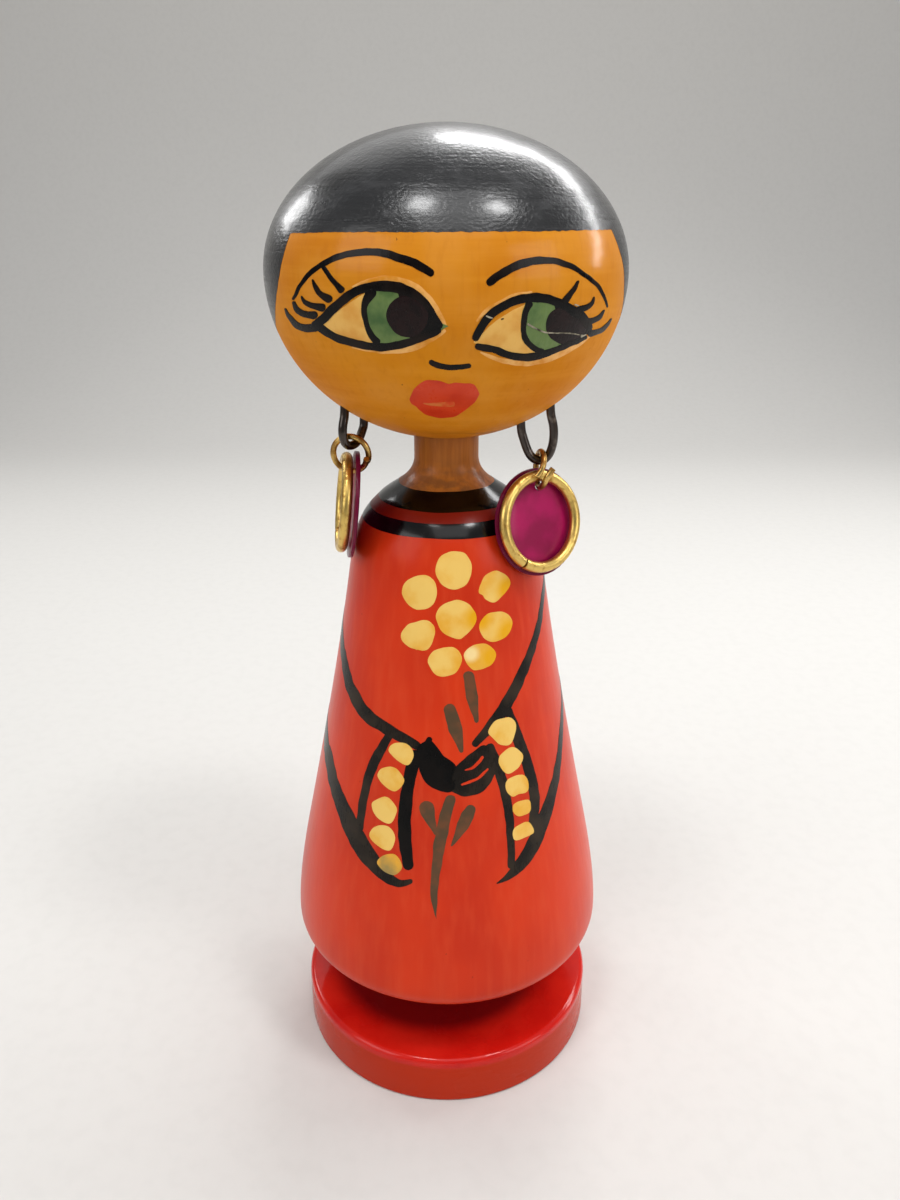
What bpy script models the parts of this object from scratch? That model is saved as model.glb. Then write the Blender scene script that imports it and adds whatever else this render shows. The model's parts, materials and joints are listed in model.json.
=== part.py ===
"""Turned and painted wooden doll with wire hoop earrings that hang from the head.

Metres, +Z up. The doll stands on Z = 0, its turning axis is Z and its face looks towards -Y.
Left and right are the viewer's.
"""

import math

import bmesh
import bpy
from mathutils import Matrix, Vector

# Slack left by glue lines, by drilled holes and between linked wires
GLUE_GAP = 0.0003
LINK_GAP = 0.0003

# Base: a turned disc with eased edges
BASE_RADIUS = 0.0308
BASE_HEIGHT = 0.0106
BASE_TOP_EDGE = 0.0012
BASE_LOWER_EDGE = 0.0006

# Dowel that pins the body to the base
DOWEL_RADIUS = 0.004
DOWEL_LENGTH = 0.020
DOWEL_IN_BASE = 0.006
DOWEL_CHAMFER = 0.0006

# Body: foot, skirt, shoulders and neck turned in one
FOOT_RADIUS = 0.0145
FOOT_HEIGHT = 0.0136
FOOT_COVE = 0.003
HEM_RADIUS = 0.032
HEM_ROUND_WIDTH = 0.003
HEM_ROUND_HEIGHT = 0.004
SKIRT_RADIUS = 0.0292
SKIRT_RISE = 0.0197
SKIRT_LENGTH = 0.0578
SKIRT_SLOPE = 0.212
WAIST_SLOPE = 0.150
SHOULDER_RADIUS = 0.0182
SHOULDER_HEIGHT = 0.0122
COLLAR_RADIUS = 0.0124
COLLAR_SLOPE = 0.90
COLLAR_HEIGHT = 0.0073
NECK_RADIUS = 0.0059
NECK_LENGTH = 0.0042
NECK_IN_HEAD = 0.012
NECK_CHAMFER = 0.0008

# Fullness of the body's curves: how far each end pulls straight, as a share of the curve's fall
COVE_PULL = 0.55
COLLAR_UPPER_PULL = 0.30
COLLAR_LOWER_PULL = 0.25
SHOULDER_PULL = 0.53
SKIRT_PULL = 0.33
HEM_PULL = 0.25

# Head: two half ellipsoids on one equator
HEAD_RADIUS = 0.0308
HEAD_CROWN = 0.0230
HEAD_CHIN = 0.0279

# Staples: bent wire driven into the underside of the head, one leg slanting, the other bowed
STAPLE_WIRE = 0.0016
STAPLE_BEND = 0.0022
STAPLE_INNER_LEG = 0.0037
STAPLE_INNER_SPREAD = 0.70
STAPLE_INNER_SLANT = 0.45
STAPLE_OUTER_LEG = 0.0013
STAPLE_BOW = 0.0016
STAPLE_BOW_DROP = 0.003
STAPLE_IN_HEAD = 0.006
STAPLE_KNEE = 0.0009
EAR_SPREAD = 0.0166
EAR_FORWARD = 0.0075
LEFT_STAPLE_DROP = 0.0058
RIGHT_STAPLE_DROP = 0.0085
LEFT_STAPLE_AZIMUTH = 235.0
RIGHT_STAPLE_AZIMUTH = 0.0

# Jump rings: wire turned a little past once round, the cut ends sprung apart sideways
RING_DIAMETER = 0.0074
RING_WIRE = 0.0011
RING_OVERLAP = 24.0
RING_MOUTH_AZIMUTH = 78.0
RING_SPRING = 0.0028
RING_SPRING_SHARPNESS = 7
LEFT_RING_AZIMUTH = 172.0
RIGHT_RING_AZIMUTH = -80.0

# Hoops: round wire bent to a ring, the ends butted
HOOP_DIAMETER = 0.0182
HOOP_WIRE = 0.0020
HOOP_SEAM = 0.0004
HOOP_SEAM_AZIMUTH = 208.0
HOOP_ALONG_RING = 0.0005
LEFT_HOOP_AZIMUTH = 188.0
RIGHT_HOOP_AZIMUTH = -55.0

# Discs that hang behind the hoops on the same jump rings
DISC_DIAMETER = 0.0192
DISC_THICKNESS = 0.0008
DISC_HOLE = 0.0024
DISC_MARGIN = 0.0019
DISC_SLACK = 0.00045
SHOULDER_GAP = 0.0004

# Fineness of the facets
TURNED_STEPS = 48
DOWEL_STEPS = 24
CURVE_POINTS = 9
HEAD_POINTS = 13
EDGE_POINTS = 5
RING_POINTS = 28
HOOP_POINTS = 36
WIRE_STEPS = 2
DISC_POINTS = 40
HOLE_POINTS = 16
BIT_STEPS = 12
MERGE_DISTANCE = 0.00001
LEAN_STEP = 0.5
LEAN_LIMIT = 60.0

# Levels up the doll, each stacked on the one below
BODY_BOTTOM = BASE_HEIGHT + GLUE_GAP
SKIRT_UNDERSIDE = BODY_BOTTOM + FOOT_HEIGHT
HEM_LEVEL = SKIRT_UNDERSIDE + HEM_ROUND_HEIGHT
SKIRT_LEVEL = HEM_LEVEL + SKIRT_RISE
SHOULDER_LEVEL = SKIRT_LEVEL + SKIRT_LENGTH
COLLAR_LEVEL = SHOULDER_LEVEL + SHOULDER_HEIGHT
NECK_LEVEL = COLLAR_LEVEL + COLLAR_HEIGHT
HEAD_UNDERSIDE = NECK_LEVEL + NECK_LENGTH
NECK_TOP = HEAD_UNDERSIDE + NECK_IN_HEAD
DOWEL_BOTTOM = BASE_HEIGHT - DOWEL_IN_BASE
DOWEL_TOP = DOWEL_BOTTOM + DOWEL_LENGTH

# Fits that follow from the sizes above
DOWEL_HOLE_RADIUS = DOWEL_RADIUS + GLUE_GAP
NECK_HOLE_RADIUS = NECK_RADIUS + GLUE_GAP
HEAD_EQUATOR = HEAD_UNDERSIDE + HEAD_CHIN * math.sqrt(1 - (NECK_HOLE_RADIUS / HEAD_RADIUS) ** 2)
RING_RADIUS = (RING_DIAMETER - RING_WIRE) / 2
RING_INNER_RADIUS = RING_RADIUS - RING_WIRE / 2
RING_DROP = RING_INNER_RADIUS - STAPLE_WIRE / 2 - LINK_GAP
HOOP_RADIUS = (HOOP_DIAMETER - HOOP_WIRE) / 2
HOOP_TO_DISC = HOOP_WIRE / 2 + DISC_THICKNESS / 2 + LINK_GAP


def clear_scene():
    for thing in list(bpy.data.objects):
        bpy.data.objects.remove(thing, do_unlink=True)


def new_collection(name):
    collection = bpy.data.collections.new(name)
    bpy.context.scene.collection.children.link(collection)
    return collection


def new_material(name, colour, roughness, metallic=0.0):
    material = bpy.data.materials.new(name)
    material.use_nodes = True
    shader = material.node_tree.nodes["Principled BSDF"]
    shader.inputs["Base Color"].default_value = (*colour, 1.0)
    shader.inputs["Roughness"].default_value = roughness
    shader.inputs["Metallic"].default_value = metallic
    return material


def bezier(start, first, second, end):
    """Points along a cubic curve in the turning plane, without its start."""
    points = []
    for step in range(1, CURVE_POINTS):
        t = step / (CURVE_POINTS - 1)
        weights = ((1 - t) ** 3, 3 * t * (1 - t) ** 2, 3 * t * t * (1 - t), t ** 3)
        corners = (start, first, second, end)
        points.append(tuple(sum(w * c[i] for w, c in zip(weights, corners)) for i in (0, 1)))
    return points


def arc(centre, width, height, first, last, count):
    """Points along an elliptical arc in the turning plane; angles in degrees from +X."""
    points = []
    for step in range(count):
        angle = math.radians(first + (last - first) * step / (count - 1))
        points.append((centre[0] + width * math.cos(angle), centre[1] + height * math.sin(angle)))
    return points


def turned(name, profile, steps, material, collection):
    """A lathe piece: the profile, from the top of the outer side down, spun about Z."""
    mesh = bpy.data.meshes.new(name)
    edges = [(i, i + 1) for i in range(len(profile) - 1)]
    mesh.from_pydata([(r, 0.0, z) for r, z in profile], edges, [])
    mesh.materials.append(material)
    piece = bpy.data.objects.new(name, mesh)
    collection.objects.link(piece)
    spin = piece.modifiers.new("turning", "SCREW")
    spin.angle = 2 * math.pi
    spin.axis = "Z"
    spin.steps = steps
    spin.render_steps = steps
    spin.use_merge_vertices = True
    spin.merge_threshold = MERGE_DISTANCE
    spin.use_smooth_shade = True
    return piece


def wire(name, points, diameter, material, collection):
    """A bent wire: a round section along the points, with flat cut ends."""
    curve = bpy.data.curves.new(name, "CURVE")
    curve.dimensions = "3D"
    curve.bevel_depth = diameter / 2
    curve.bevel_resolution = WIRE_STEPS
    curve.use_fill_caps = True
    spline = curve.splines.new("POLY")
    spline.points.add(len(points) - 1)
    for place, point in zip(spline.points, points):
        place.co = (*point, 1.0)
    curve.materials.append(material)
    piece = bpy.data.objects.new(name, curve)
    collection.objects.link(piece)
    return piece


def base_profile():
    top_centre = (BASE_RADIUS - BASE_TOP_EDGE, BASE_HEIGHT - BASE_TOP_EDGE)
    lower_centre = (BASE_RADIUS - BASE_LOWER_EDGE, BASE_LOWER_EDGE)
    hole_floor = DOWEL_BOTTOM - GLUE_GAP
    profile = [(0.0, hole_floor), (DOWEL_HOLE_RADIUS, hole_floor), (DOWEL_HOLE_RADIUS, BASE_HEIGHT)]
    profile += arc(top_centre, BASE_TOP_EDGE, BASE_TOP_EDGE, 90, 0, EDGE_POINTS)
    profile += arc(lower_centre, BASE_LOWER_EDGE, BASE_LOWER_EDGE, 0, -90, EDGE_POINTS)
    profile.append((0.0, 0.0))
    return profile


def dowel_profile():
    end_radius = DOWEL_RADIUS - DOWEL_CHAMFER
    return [
        (0.0, DOWEL_TOP),
        (end_radius, DOWEL_TOP),
        (DOWEL_RADIUS, DOWEL_TOP - DOWEL_CHAMFER),
        (DOWEL_RADIUS, DOWEL_BOTTOM + DOWEL_CHAMFER),
        (end_radius, DOWEL_BOTTOM),
        (0.0, DOWEL_BOTTOM),
    ]


def body_side():
    """Outer side of the body from the neck down to the hem: cove, shoulder, skirt, hem."""
    neck = (NECK_RADIUS, NECK_LEVEL)
    collar = (COLLAR_RADIUS, COLLAR_LEVEL)
    shoulder = (SHOULDER_RADIUS, SHOULDER_LEVEL)
    skirt = (SKIRT_RADIUS, SKIRT_LEVEL)
    hem = (HEM_RADIUS, HEM_LEVEL)

    def along(point, slope, fall):
        return (point[0] + slope * fall, point[1] - fall)

    flare = 1 / COLLAR_SLOPE
    side = [neck]
    side += bezier(
        neck,
        along(neck, 0, COVE_PULL * COLLAR_HEIGHT),
        along(collar, flare, -COLLAR_UPPER_PULL * COLLAR_HEIGHT),
        collar,
    )
    side += bezier(
        collar,
        along(collar, flare, COLLAR_LOWER_PULL * SHOULDER_HEIGHT),
        along(shoulder, WAIST_SLOPE, -SHOULDER_PULL * SHOULDER_HEIGHT),
        shoulder,
    )
    side += bezier(
        shoulder,
        along(shoulder, WAIST_SLOPE, SKIRT_PULL * SKIRT_LENGTH),
        along(skirt, SKIRT_SLOPE, -SKIRT_PULL * SKIRT_LENGTH),
        skirt,
    )
    side += bezier(
        skirt,
        along(skirt, SKIRT_SLOPE, SKIRT_PULL * SKIRT_RISE),
        along(hem, 0, -HEM_PULL * SKIRT_RISE),
        hem,
    )
    return side


def body_profile():
    hem_centre = (HEM_RADIUS - HEM_ROUND_WIDTH, HEM_LEVEL)
    cove_centre = (FOOT_RADIUS + FOOT_COVE, SKIRT_UNDERSIDE - FOOT_COVE)
    hole_top = DOWEL_TOP + GLUE_GAP
    neck_end = NECK_RADIUS - NECK_CHAMFER
    profile = [(0.0, NECK_TOP), (neck_end, NECK_TOP), (NECK_RADIUS, NECK_TOP - NECK_CHAMFER)]
    profile += body_side()
    profile += arc(hem_centre, HEM_ROUND_WIDTH, HEM_ROUND_HEIGHT, 0, -90, EDGE_POINTS)[1:]
    profile += arc(cove_centre, FOOT_COVE, FOOT_COVE, 90, 180, EDGE_POINTS)
    profile += [(FOOT_RADIUS, BODY_BOTTOM), (DOWEL_HOLE_RADIUS, BODY_BOTTOM), (DOWEL_HOLE_RADIUS, hole_top)]
    profile.append((0.0, hole_top))
    return profile


def head_profile():
    """Crown and chin as half ellipses, then up the drilled hole that takes the neck."""
    centre = (0.0, HEAD_EQUATOR)
    chin_end = -math.degrees(math.acos(NECK_HOLE_RADIUS / HEAD_RADIUS))
    hole_top = NECK_TOP + GLUE_GAP
    profile = arc(centre, HEAD_RADIUS, HEAD_CROWN, 90, 0, HEAD_POINTS)
    profile[0] = (0.0, HEAD_EQUATOR + HEAD_CROWN)
    profile += arc(centre, HEAD_RADIUS, HEAD_CHIN, 0, chin_end, HEAD_POINTS)[1:]
    profile += [(NECK_HOLE_RADIUS, hole_top), (0.0, hole_top)]
    return profile


def head_surface(x, y):
    """Level of the underside of the head above the point (x, y)."""
    return HEAD_EQUATOR - HEAD_CHIN * math.sqrt(1 - (x * x + y * y) / HEAD_RADIUS ** 2)


def staple_legs(hinge, outward):
    """Where the inner and the outer leg of a staple enter the head."""
    legs = []
    for reach in (-STAPLE_INNER_LEG, STAPLE_OUTER_LEG):
        foot = hinge + outward * reach
        legs.append(Vector((foot.x, foot.y, head_surface(foot.x, foot.y))))
    return legs


def staple_path(hinge, outward, legs):
    """Down the slanting inner leg, round the bend at the hinge and up the bowed outer leg."""
    knees = [Vector((leg.x, leg.y, leg.z - STAPLE_KNEE)) for leg in legs]
    tops = [Vector((leg.x, leg.y, leg.z + STAPLE_IN_HEAD)) for leg in legs]
    bottom = (0.0, 0.0)
    inner, outer = [((knee - hinge).dot(outward), knee.z - hinge.z) for knee in knees]
    inner_hold = (STAPLE_INNER_SPREAD * inner[0], STAPLE_INNER_SLANT * inner[1])
    outer_hold = (outer[0] + STAPLE_BOW, outer[1] - STAPLE_BOW_DROP)
    curve = bezier(inner, inner_hold, (-STAPLE_BEND, 0.0), bottom)
    curve += bezier(bottom, (STAPLE_BEND, 0.0), outer_hold, outer)
    bend = [hinge + outward * across + Vector((0.0, 0.0, up)) for across, up in curve]
    return [tops[0], knees[0], *bend, tops[1]]


def drill(piece, places, collection):
    """Blind holes up into the head, one for each leg of the staples."""
    for number, place in enumerate(places):
        depth = STAPLE_IN_HEAD + GLUE_GAP
        below = 2 * STAPLE_KNEE + STAPLE_WIRE
        bit_mesh = bpy.data.meshes.new(f"staple_bit_{number}")
        shape = bmesh.new()
        bmesh.ops.create_cone(
            shape,
            cap_ends=True,
            segments=BIT_STEPS,
            radius1=STAPLE_WIRE / 2 + GLUE_GAP,
            radius2=STAPLE_WIRE / 2 + GLUE_GAP,
            depth=depth + below,
            matrix=Matrix.Translation(place + Vector((0.0, 0.0, (depth - below) / 2))),
        )
        shape.to_mesh(bit_mesh)
        shape.free()
        bit = bpy.data.objects.new(f"staple_bit_{number}", bit_mesh)
        bit.hide_render = True
        bit.display_type = "WIRE"
        collection.objects.link(bit)
        cut = piece.modifiers.new(f"staple_hole_{number}", "BOOLEAN")
        cut.operation = "DIFFERENCE"
        cut.solver = "EXACT"
        cut.object = bit


def ring_path(hand):
    """Ring in the XZ plane below its hinge; X runs along it, its ends are sprung past each other in Y."""
    points = []
    for step in range(RING_POINTS + 1):
        share = step / RING_POINTS
        angle = math.radians(RING_MOUTH_AZIMUTH - RING_OVERLAP / 2 + (360 + RING_OVERLAP) * share)
        along = hand * RING_RADIUS * math.sin(angle)
        sideways = RING_SPRING / 2 * (2 * share - 1) ** RING_SPRING_SHARPNESS
        points.append((along, sideways, -RING_DROP - RING_RADIUS * math.cos(angle)))
    return points


def ring_bottom(along):
    """Level of the centre of the ring's lower wire at a distance along the ring."""
    return -RING_DROP - math.sqrt(RING_RADIUS ** 2 - along ** 2)


def hoop_path(top):
    """Butted ring in the YZ plane, its upper wire at the level given."""
    seam = HOOP_SEAM / HOOP_RADIUS
    start = math.radians(HOOP_SEAM_AZIMUTH) + seam / 2
    points = []
    for step in range(HOOP_POINTS + 1):
        angle = start + (2 * math.pi - seam) * step / HOOP_POINTS
        points.append((0.0, HOOP_RADIUS * math.sin(angle), top + HOOP_RADIUS * (math.cos(angle) - 1)))
    return points


def hoop_top(twist):
    """Level of the hoop's upper wire where it hangs inside the ring, turned by the twist."""
    reach = RING_INNER_RADIUS - HOOP_WIRE / 2 / math.cos(twist) - LINK_GAP
    return -RING_DROP - math.sqrt(reach ** 2 - HOOP_ALONG_RING ** 2)


def disc_along(twist):
    """Place of the disc along the ring, behind a hoop that is turned by the twist."""
    return HOOP_ALONG_RING - HOOP_TO_DISC / math.cos(twist)


def disc_levels(along):
    """Levels of the disc's hole and of its centre, hung on the ring's sloping wire."""
    slope = math.asin(-along / RING_RADIUS)
    half_wire = RING_WIRE / 2 / math.cos(slope) + DISC_THICKNESS / 2 * math.tan(slope)
    hole = ring_bottom(along) - (DISC_HOLE / 2 - half_wire - DISC_SLACK)
    centre = hole - (DISC_DIAMETER / 2 - DISC_MARGIN - DISC_HOLE / 2)
    return hole, centre


def circle(radius, level, count):
    return [
        (radius * math.sin(2 * math.pi * step / count), level + radius * math.cos(2 * math.pi * step / count))
        for step in range(count)
    ]


def punched_disc(name, hole_level, centre_level, material, collection):
    """Thin flat disc with a round hole near its upper edge, lying in its YZ plane."""
    curve = bpy.data.curves.new(name, "CURVE")
    curve.dimensions = "2D"
    curve.fill_mode = "BOTH"
    curve.extrude = DISC_THICKNESS / 2
    outlines = (
        circle(DISC_DIAMETER / 2, centre_level, DISC_POINTS),
        circle(DISC_HOLE / 2, hole_level, HOLE_POINTS),
    )
    for outline in outlines:
        spline = curve.splines.new("POLY")
        spline.points.add(len(outline) - 1)
        for place, (across, up) in zip(spline.points, outline):
            place.co = (across, up, 0.0, 1.0)
        spline.use_cyclic_u = True
    curve.materials.append(material)
    piece = bpy.data.objects.new(name, curve)
    collection.objects.link(piece)
    return piece


def side_radius(side, level):
    """Radius of the body at a level, from the points of its outer side."""
    for (r1, z1), (r2, z2) in zip(side, side[1:]):
        if z2 <= level <= z1:
            return r1 + (r2 - r1) * (z1 - level) / (z1 - z2)
    return 0.0


def hanging_place(hinge, outward, azimuth, lean):
    """Frame of a jump ring: X along the ring, hinged at the staple and leaning off the body."""
    level_turn = Matrix.Rotation(math.radians(azimuth), 4, "Z")
    away = Vector((outward.y, -outward.x, 0.0))
    if away.dot(hinge) < 0:
        away = -away
    tilt_axis = Vector((0.0, 0.0, -1.0)).cross(away)
    return Matrix.Translation(hinge) @ Matrix.Rotation(math.radians(lean), 4, tilt_axis) @ level_turn


def resting_lean(hinge, outward, azimuth, twist, side):
    """Least lean about the staple at which the disc stands off the shoulder by its gap."""
    along = disc_along(twist)
    _, centre = disc_levels(along)
    turned_disc = Matrix.Translation((along, 0.0, 0.0)) @ Matrix.Rotation(twist, 4, "Z")
    marks = []
    for share in (0.4, 0.7, 1.0):
        for across, up in circle(share * DISC_DIAMETER / 2, centre, DISC_POINTS):
            marks.append(turned_disc @ Vector((-DISC_THICKNESS / 2, across, up)))
    lean = 0.0
    while lean < LEAN_LIMIT:
        place = hanging_place(hinge, outward, azimuth, lean)
        spots = [place @ mark for mark in marks]
        if min(math.hypot(s.x, s.y) - side_radius(side, s.z) for s in spots) >= SHOULDER_GAP:
            return lean
        lean += LEAN_STEP
    return lean


def hang(piece, parent, along, level, twist):
    """Carry a piece on the ring's lower wire, its plane turned by the twist from square across."""
    piece.parent = parent
    piece.location = (along, 0.0, level)
    piece.rotation_euler.z += twist


def earring(label, side_sign, drop, azimuths, looks, parts):
    """One earring: staple, jump ring, hoop and disc. Returns where the staple's legs enter."""
    staple_azimuth, ring_azimuth, hoop_azimuth = azimuths
    twist = math.radians(hoop_azimuth - ring_azimuth)
    x, y = side_sign * EAR_SPREAD, -EAR_FORWARD
    hinge = Vector((x, y, head_surface(x, y) - drop))
    turn = math.radians(staple_azimuth)
    outward = Vector((math.cos(turn), math.sin(turn), 0.0))
    legs = staple_legs(hinge, outward)
    wire(f"{label}_ear_staple", staple_path(hinge, outward, legs), STAPLE_WIRE, looks["iron"], parts)

    ring = wire(f"{label}_jump_ring", ring_path(side_sign), RING_WIRE, looks["brass"], parts)
    lean = resting_lean(hinge, outward, ring_azimuth, twist, body_side())
    ring.matrix_world = hanging_place(hinge, outward, ring_azimuth, lean)

    hoop_pivot = ring_bottom(HOOP_ALONG_RING)
    hoop = wire(f"{label}_hoop", hoop_path(hoop_top(twist) - hoop_pivot), HOOP_WIRE, looks["gilt"], parts)
    hang(hoop, ring, HOOP_ALONG_RING, hoop_pivot, twist)

    along = disc_along(twist)
    disc_pivot = ring_bottom(along)
    hole, centre = disc_levels(along)
    disc = punched_disc(f"{label}_disc", hole - disc_pivot, centre - disc_pivot, looks["plastic"], parts)
    disc.rotation_euler = (math.pi / 2, 0.0, math.pi / 2)
    hang(disc, ring, along, disc_pivot, twist)
    return legs


def build():
    clear_scene()
    parts = new_collection("folk_art_doll")
    cutters = new_collection("folk_art_doll_cutters")
    looks = {
        "red": new_material("red_paint", (0.55, 0.045, 0.022), 0.32),
        "crimson": new_material("crimson_paint", (0.50, 0.015, 0.012), 0.22),
        "tan": new_material("tan_varnish", (0.55, 0.22, 0.055), 0.35),
        "bare": new_material("bare_wood", (0.45, 0.28, 0.14), 0.60),
        "iron": new_material("blackened_iron", (0.03, 0.025, 0.022), 0.45, 1.0),
        "brass": new_material("brass_wire", (0.62, 0.42, 0.14), 0.30, 1.0),
        "gilt": new_material("gilt_wire", (0.70, 0.48, 0.12), 0.28, 1.0),
        "plastic": new_material("magenta_plastic", (0.32, 0.012, 0.12), 0.35),
    }
    turned("base", base_profile(), TURNED_STEPS, looks["crimson"], parts)
    turned("base_dowel", dowel_profile(), DOWEL_STEPS, looks["bare"], parts)
    turned("body", body_profile(), TURNED_STEPS, looks["red"], parts)
    head = turned("head", head_profile(), TURNED_STEPS, looks["tan"], parts)
    left_azimuths = (LEFT_STAPLE_AZIMUTH, LEFT_RING_AZIMUTH, LEFT_HOOP_AZIMUTH)
    right_azimuths = (RIGHT_STAPLE_AZIMUTH, RIGHT_RING_AZIMUTH, RIGHT_HOOP_AZIMUTH)
    holes = earring("left", -1, LEFT_STAPLE_DROP, left_azimuths, looks, parts)
    holes += earring("right", 1, RIGHT_STAPLE_DROP, right_azimuths, looks, parts)
    drill(head, holes, cutters)


build()
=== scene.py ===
"""The looks of a turned wooden folk art doll: its paint, its hair and its ear rings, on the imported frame."""

import json
import math

import bpy
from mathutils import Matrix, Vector, noise
from mathutils.bvhtree import BVHTree
from mathutils.geometry import interpolate_bezier

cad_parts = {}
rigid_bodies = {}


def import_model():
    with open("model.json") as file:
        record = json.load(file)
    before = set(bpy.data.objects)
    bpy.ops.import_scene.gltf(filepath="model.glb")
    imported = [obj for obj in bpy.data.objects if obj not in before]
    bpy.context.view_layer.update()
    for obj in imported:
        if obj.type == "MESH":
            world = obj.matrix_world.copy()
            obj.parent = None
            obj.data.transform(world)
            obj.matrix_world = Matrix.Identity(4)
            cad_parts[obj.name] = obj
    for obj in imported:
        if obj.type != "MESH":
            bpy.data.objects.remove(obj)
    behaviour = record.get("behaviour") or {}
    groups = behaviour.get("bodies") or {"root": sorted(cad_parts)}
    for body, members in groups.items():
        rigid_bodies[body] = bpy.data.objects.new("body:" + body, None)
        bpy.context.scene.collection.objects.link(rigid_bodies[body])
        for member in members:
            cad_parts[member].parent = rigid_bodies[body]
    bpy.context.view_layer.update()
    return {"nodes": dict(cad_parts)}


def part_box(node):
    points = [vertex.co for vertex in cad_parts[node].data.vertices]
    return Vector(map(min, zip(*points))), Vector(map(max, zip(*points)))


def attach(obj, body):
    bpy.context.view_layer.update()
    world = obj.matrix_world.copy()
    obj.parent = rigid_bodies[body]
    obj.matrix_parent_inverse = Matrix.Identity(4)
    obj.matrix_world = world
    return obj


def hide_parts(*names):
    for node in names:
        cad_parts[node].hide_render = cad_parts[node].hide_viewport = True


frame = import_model()

# The camera
# It stands close in front of the doll, level with the fringe, and is tipped down towards the dress.
# It comes first, because the brush strokes are laid on the wood where the photograph shows them.
PHOTO_WIDTH = 900
PHOTO_HEIGHT = 1200
CAMERA_PLACE = (0.00066, -0.172, 0.1648)
CAMERA_TILT = 21.6
CAMERA_LENS = 28.5
CAMERA_SENSOR = 36.0
CAMERA_NEAR = 0.01

bpy.ops.object.camera_add(location=CAMERA_PLACE, rotation=(math.radians(90 - CAMERA_TILT), 0, 0))
camera = bpy.context.object
camera.data.lens = CAMERA_LENS
camera.data.sensor_width = CAMERA_SENSOR
camera.data.clip_start = CAMERA_NEAR
bpy.context.scene.camera = camera
bpy.context.view_layer.update()

# The base
# A disc turned from wood with its edges rounded over, painted crimson and varnished to a high gloss.
# The doll is held on it by a glued dowel of bare wood, which is the frame's own piece.
BASE_RADIUS = 0.0308
BASE_HEIGHT = 0.0106
BASE_TOP_EDGE = 0.0012
BASE_LOWER_EDGE = 0.0006
BASE_TOP_RINGS = (0.3, 0.6, 0.85)
BASE_SIDE_LEVEL = 0.0092
BASE_SIDE_FADE = 0.001
CRIMSON = (204, 38, 28)
DEEP_CRIMSON = (188, 26, 20)
# The side's darker, more orange red, against the crimson of the top, is painted shade.
BASE_SIDE_SHADE_RED = (182, 50, 24)
# A dark maroon is painted on the top round the foot as the shadow that the skirt casts there.
BASE_PAINTED_SHADOW = (88, 8, 20)
PAINTED_SHADOW_MIDDLE = (-0.0018, 0.0, BASE_HEIGHT)
PAINTED_SHADOW_RADII = (0.0205, 0.0252)
PAINTED_SHADOW_SHARE = 0.85
BASE_CLOUDS = (0.011, 0.006)
BASE_RINGS = (0.02, 0.0006)
BASE_PEEL = (0.0012, 0.0012)
BASE_COAT = (0.75, 0.10)
BASE_ROUGHNESS = (0.18, 0.30)
BASE_RELIEF = 0.00012
BASE_RING_SHARE = 0.4
BASE_PEEL_SHARE = 0.3
CLOUD_EDGES = (0.35, 0.7)
DOWEL_WOOD = (214, 176, 124)
DOWEL_GRAIN = (186, 142, 92)
DOWEL_FIBRES = (0.0008, 0.012, 5)
DOWEL_FIBRE_EDGES = (0.35, 0.65)
DOWEL_ROUGHNESS = (0.55, 0.75)
DOWEL_RELIEF = 0.00015
SCREEN_WHITE = 255
SCREEN_GAMMA = 2.2
NOISE_DETAIL = 3
EDGE_STEPS = 8
LATHE_STEPS = 144
MERGE = 0.000001
SMOOTH_ANGLE = math.radians(40)


def arc(centre, width, height, start, end, steps=EDGE_STEPS):
    """Points of a lathe outline along part of an ellipse, from one angle to another in degrees."""
    points = []
    for step in range(steps + 1):
        angle = math.radians(start + (end - start) * step / steps)
        points.append((centre[0] + width * math.cos(angle), centre[1] + height * math.sin(angle)))
    return points


def turned(name, outline):
    """A piece from the lathe: its outline of radius and level, top to bottom, spun round the doll's axis."""
    bpy.ops.object.select_all(action="DESELECT")
    bpy.ops.mesh.primitive_circle_add(vertices=len(outline), radius=1)
    piece = bpy.context.object
    piece.name = name
    for point, (radius, level) in zip(piece.data.vertices, outline):
        point.co = (radius, 0, level)
    bpy.ops.object.mode_set(mode="EDIT")
    bpy.ops.mesh.select_all(action="SELECT")
    bpy.ops.mesh.spin(steps=LATHE_STEPS, angle=2 * math.pi, center=(0, 0, 0), axis=(0, 0, 1))
    bpy.ops.mesh.select_all(action="SELECT")
    bpy.ops.mesh.remove_doubles(threshold=MERGE)
    bpy.ops.mesh.delete_loose(use_verts=True, use_edges=True, use_faces=False)
    bpy.ops.mesh.select_all(action="SELECT")
    bpy.ops.mesh.normals_make_consistent(inside=False)
    bpy.ops.object.mode_set(mode="OBJECT")
    bpy.ops.object.shade_smooth_by_angle(angle=SMOOTH_ANGLE)
    return piece


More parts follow.
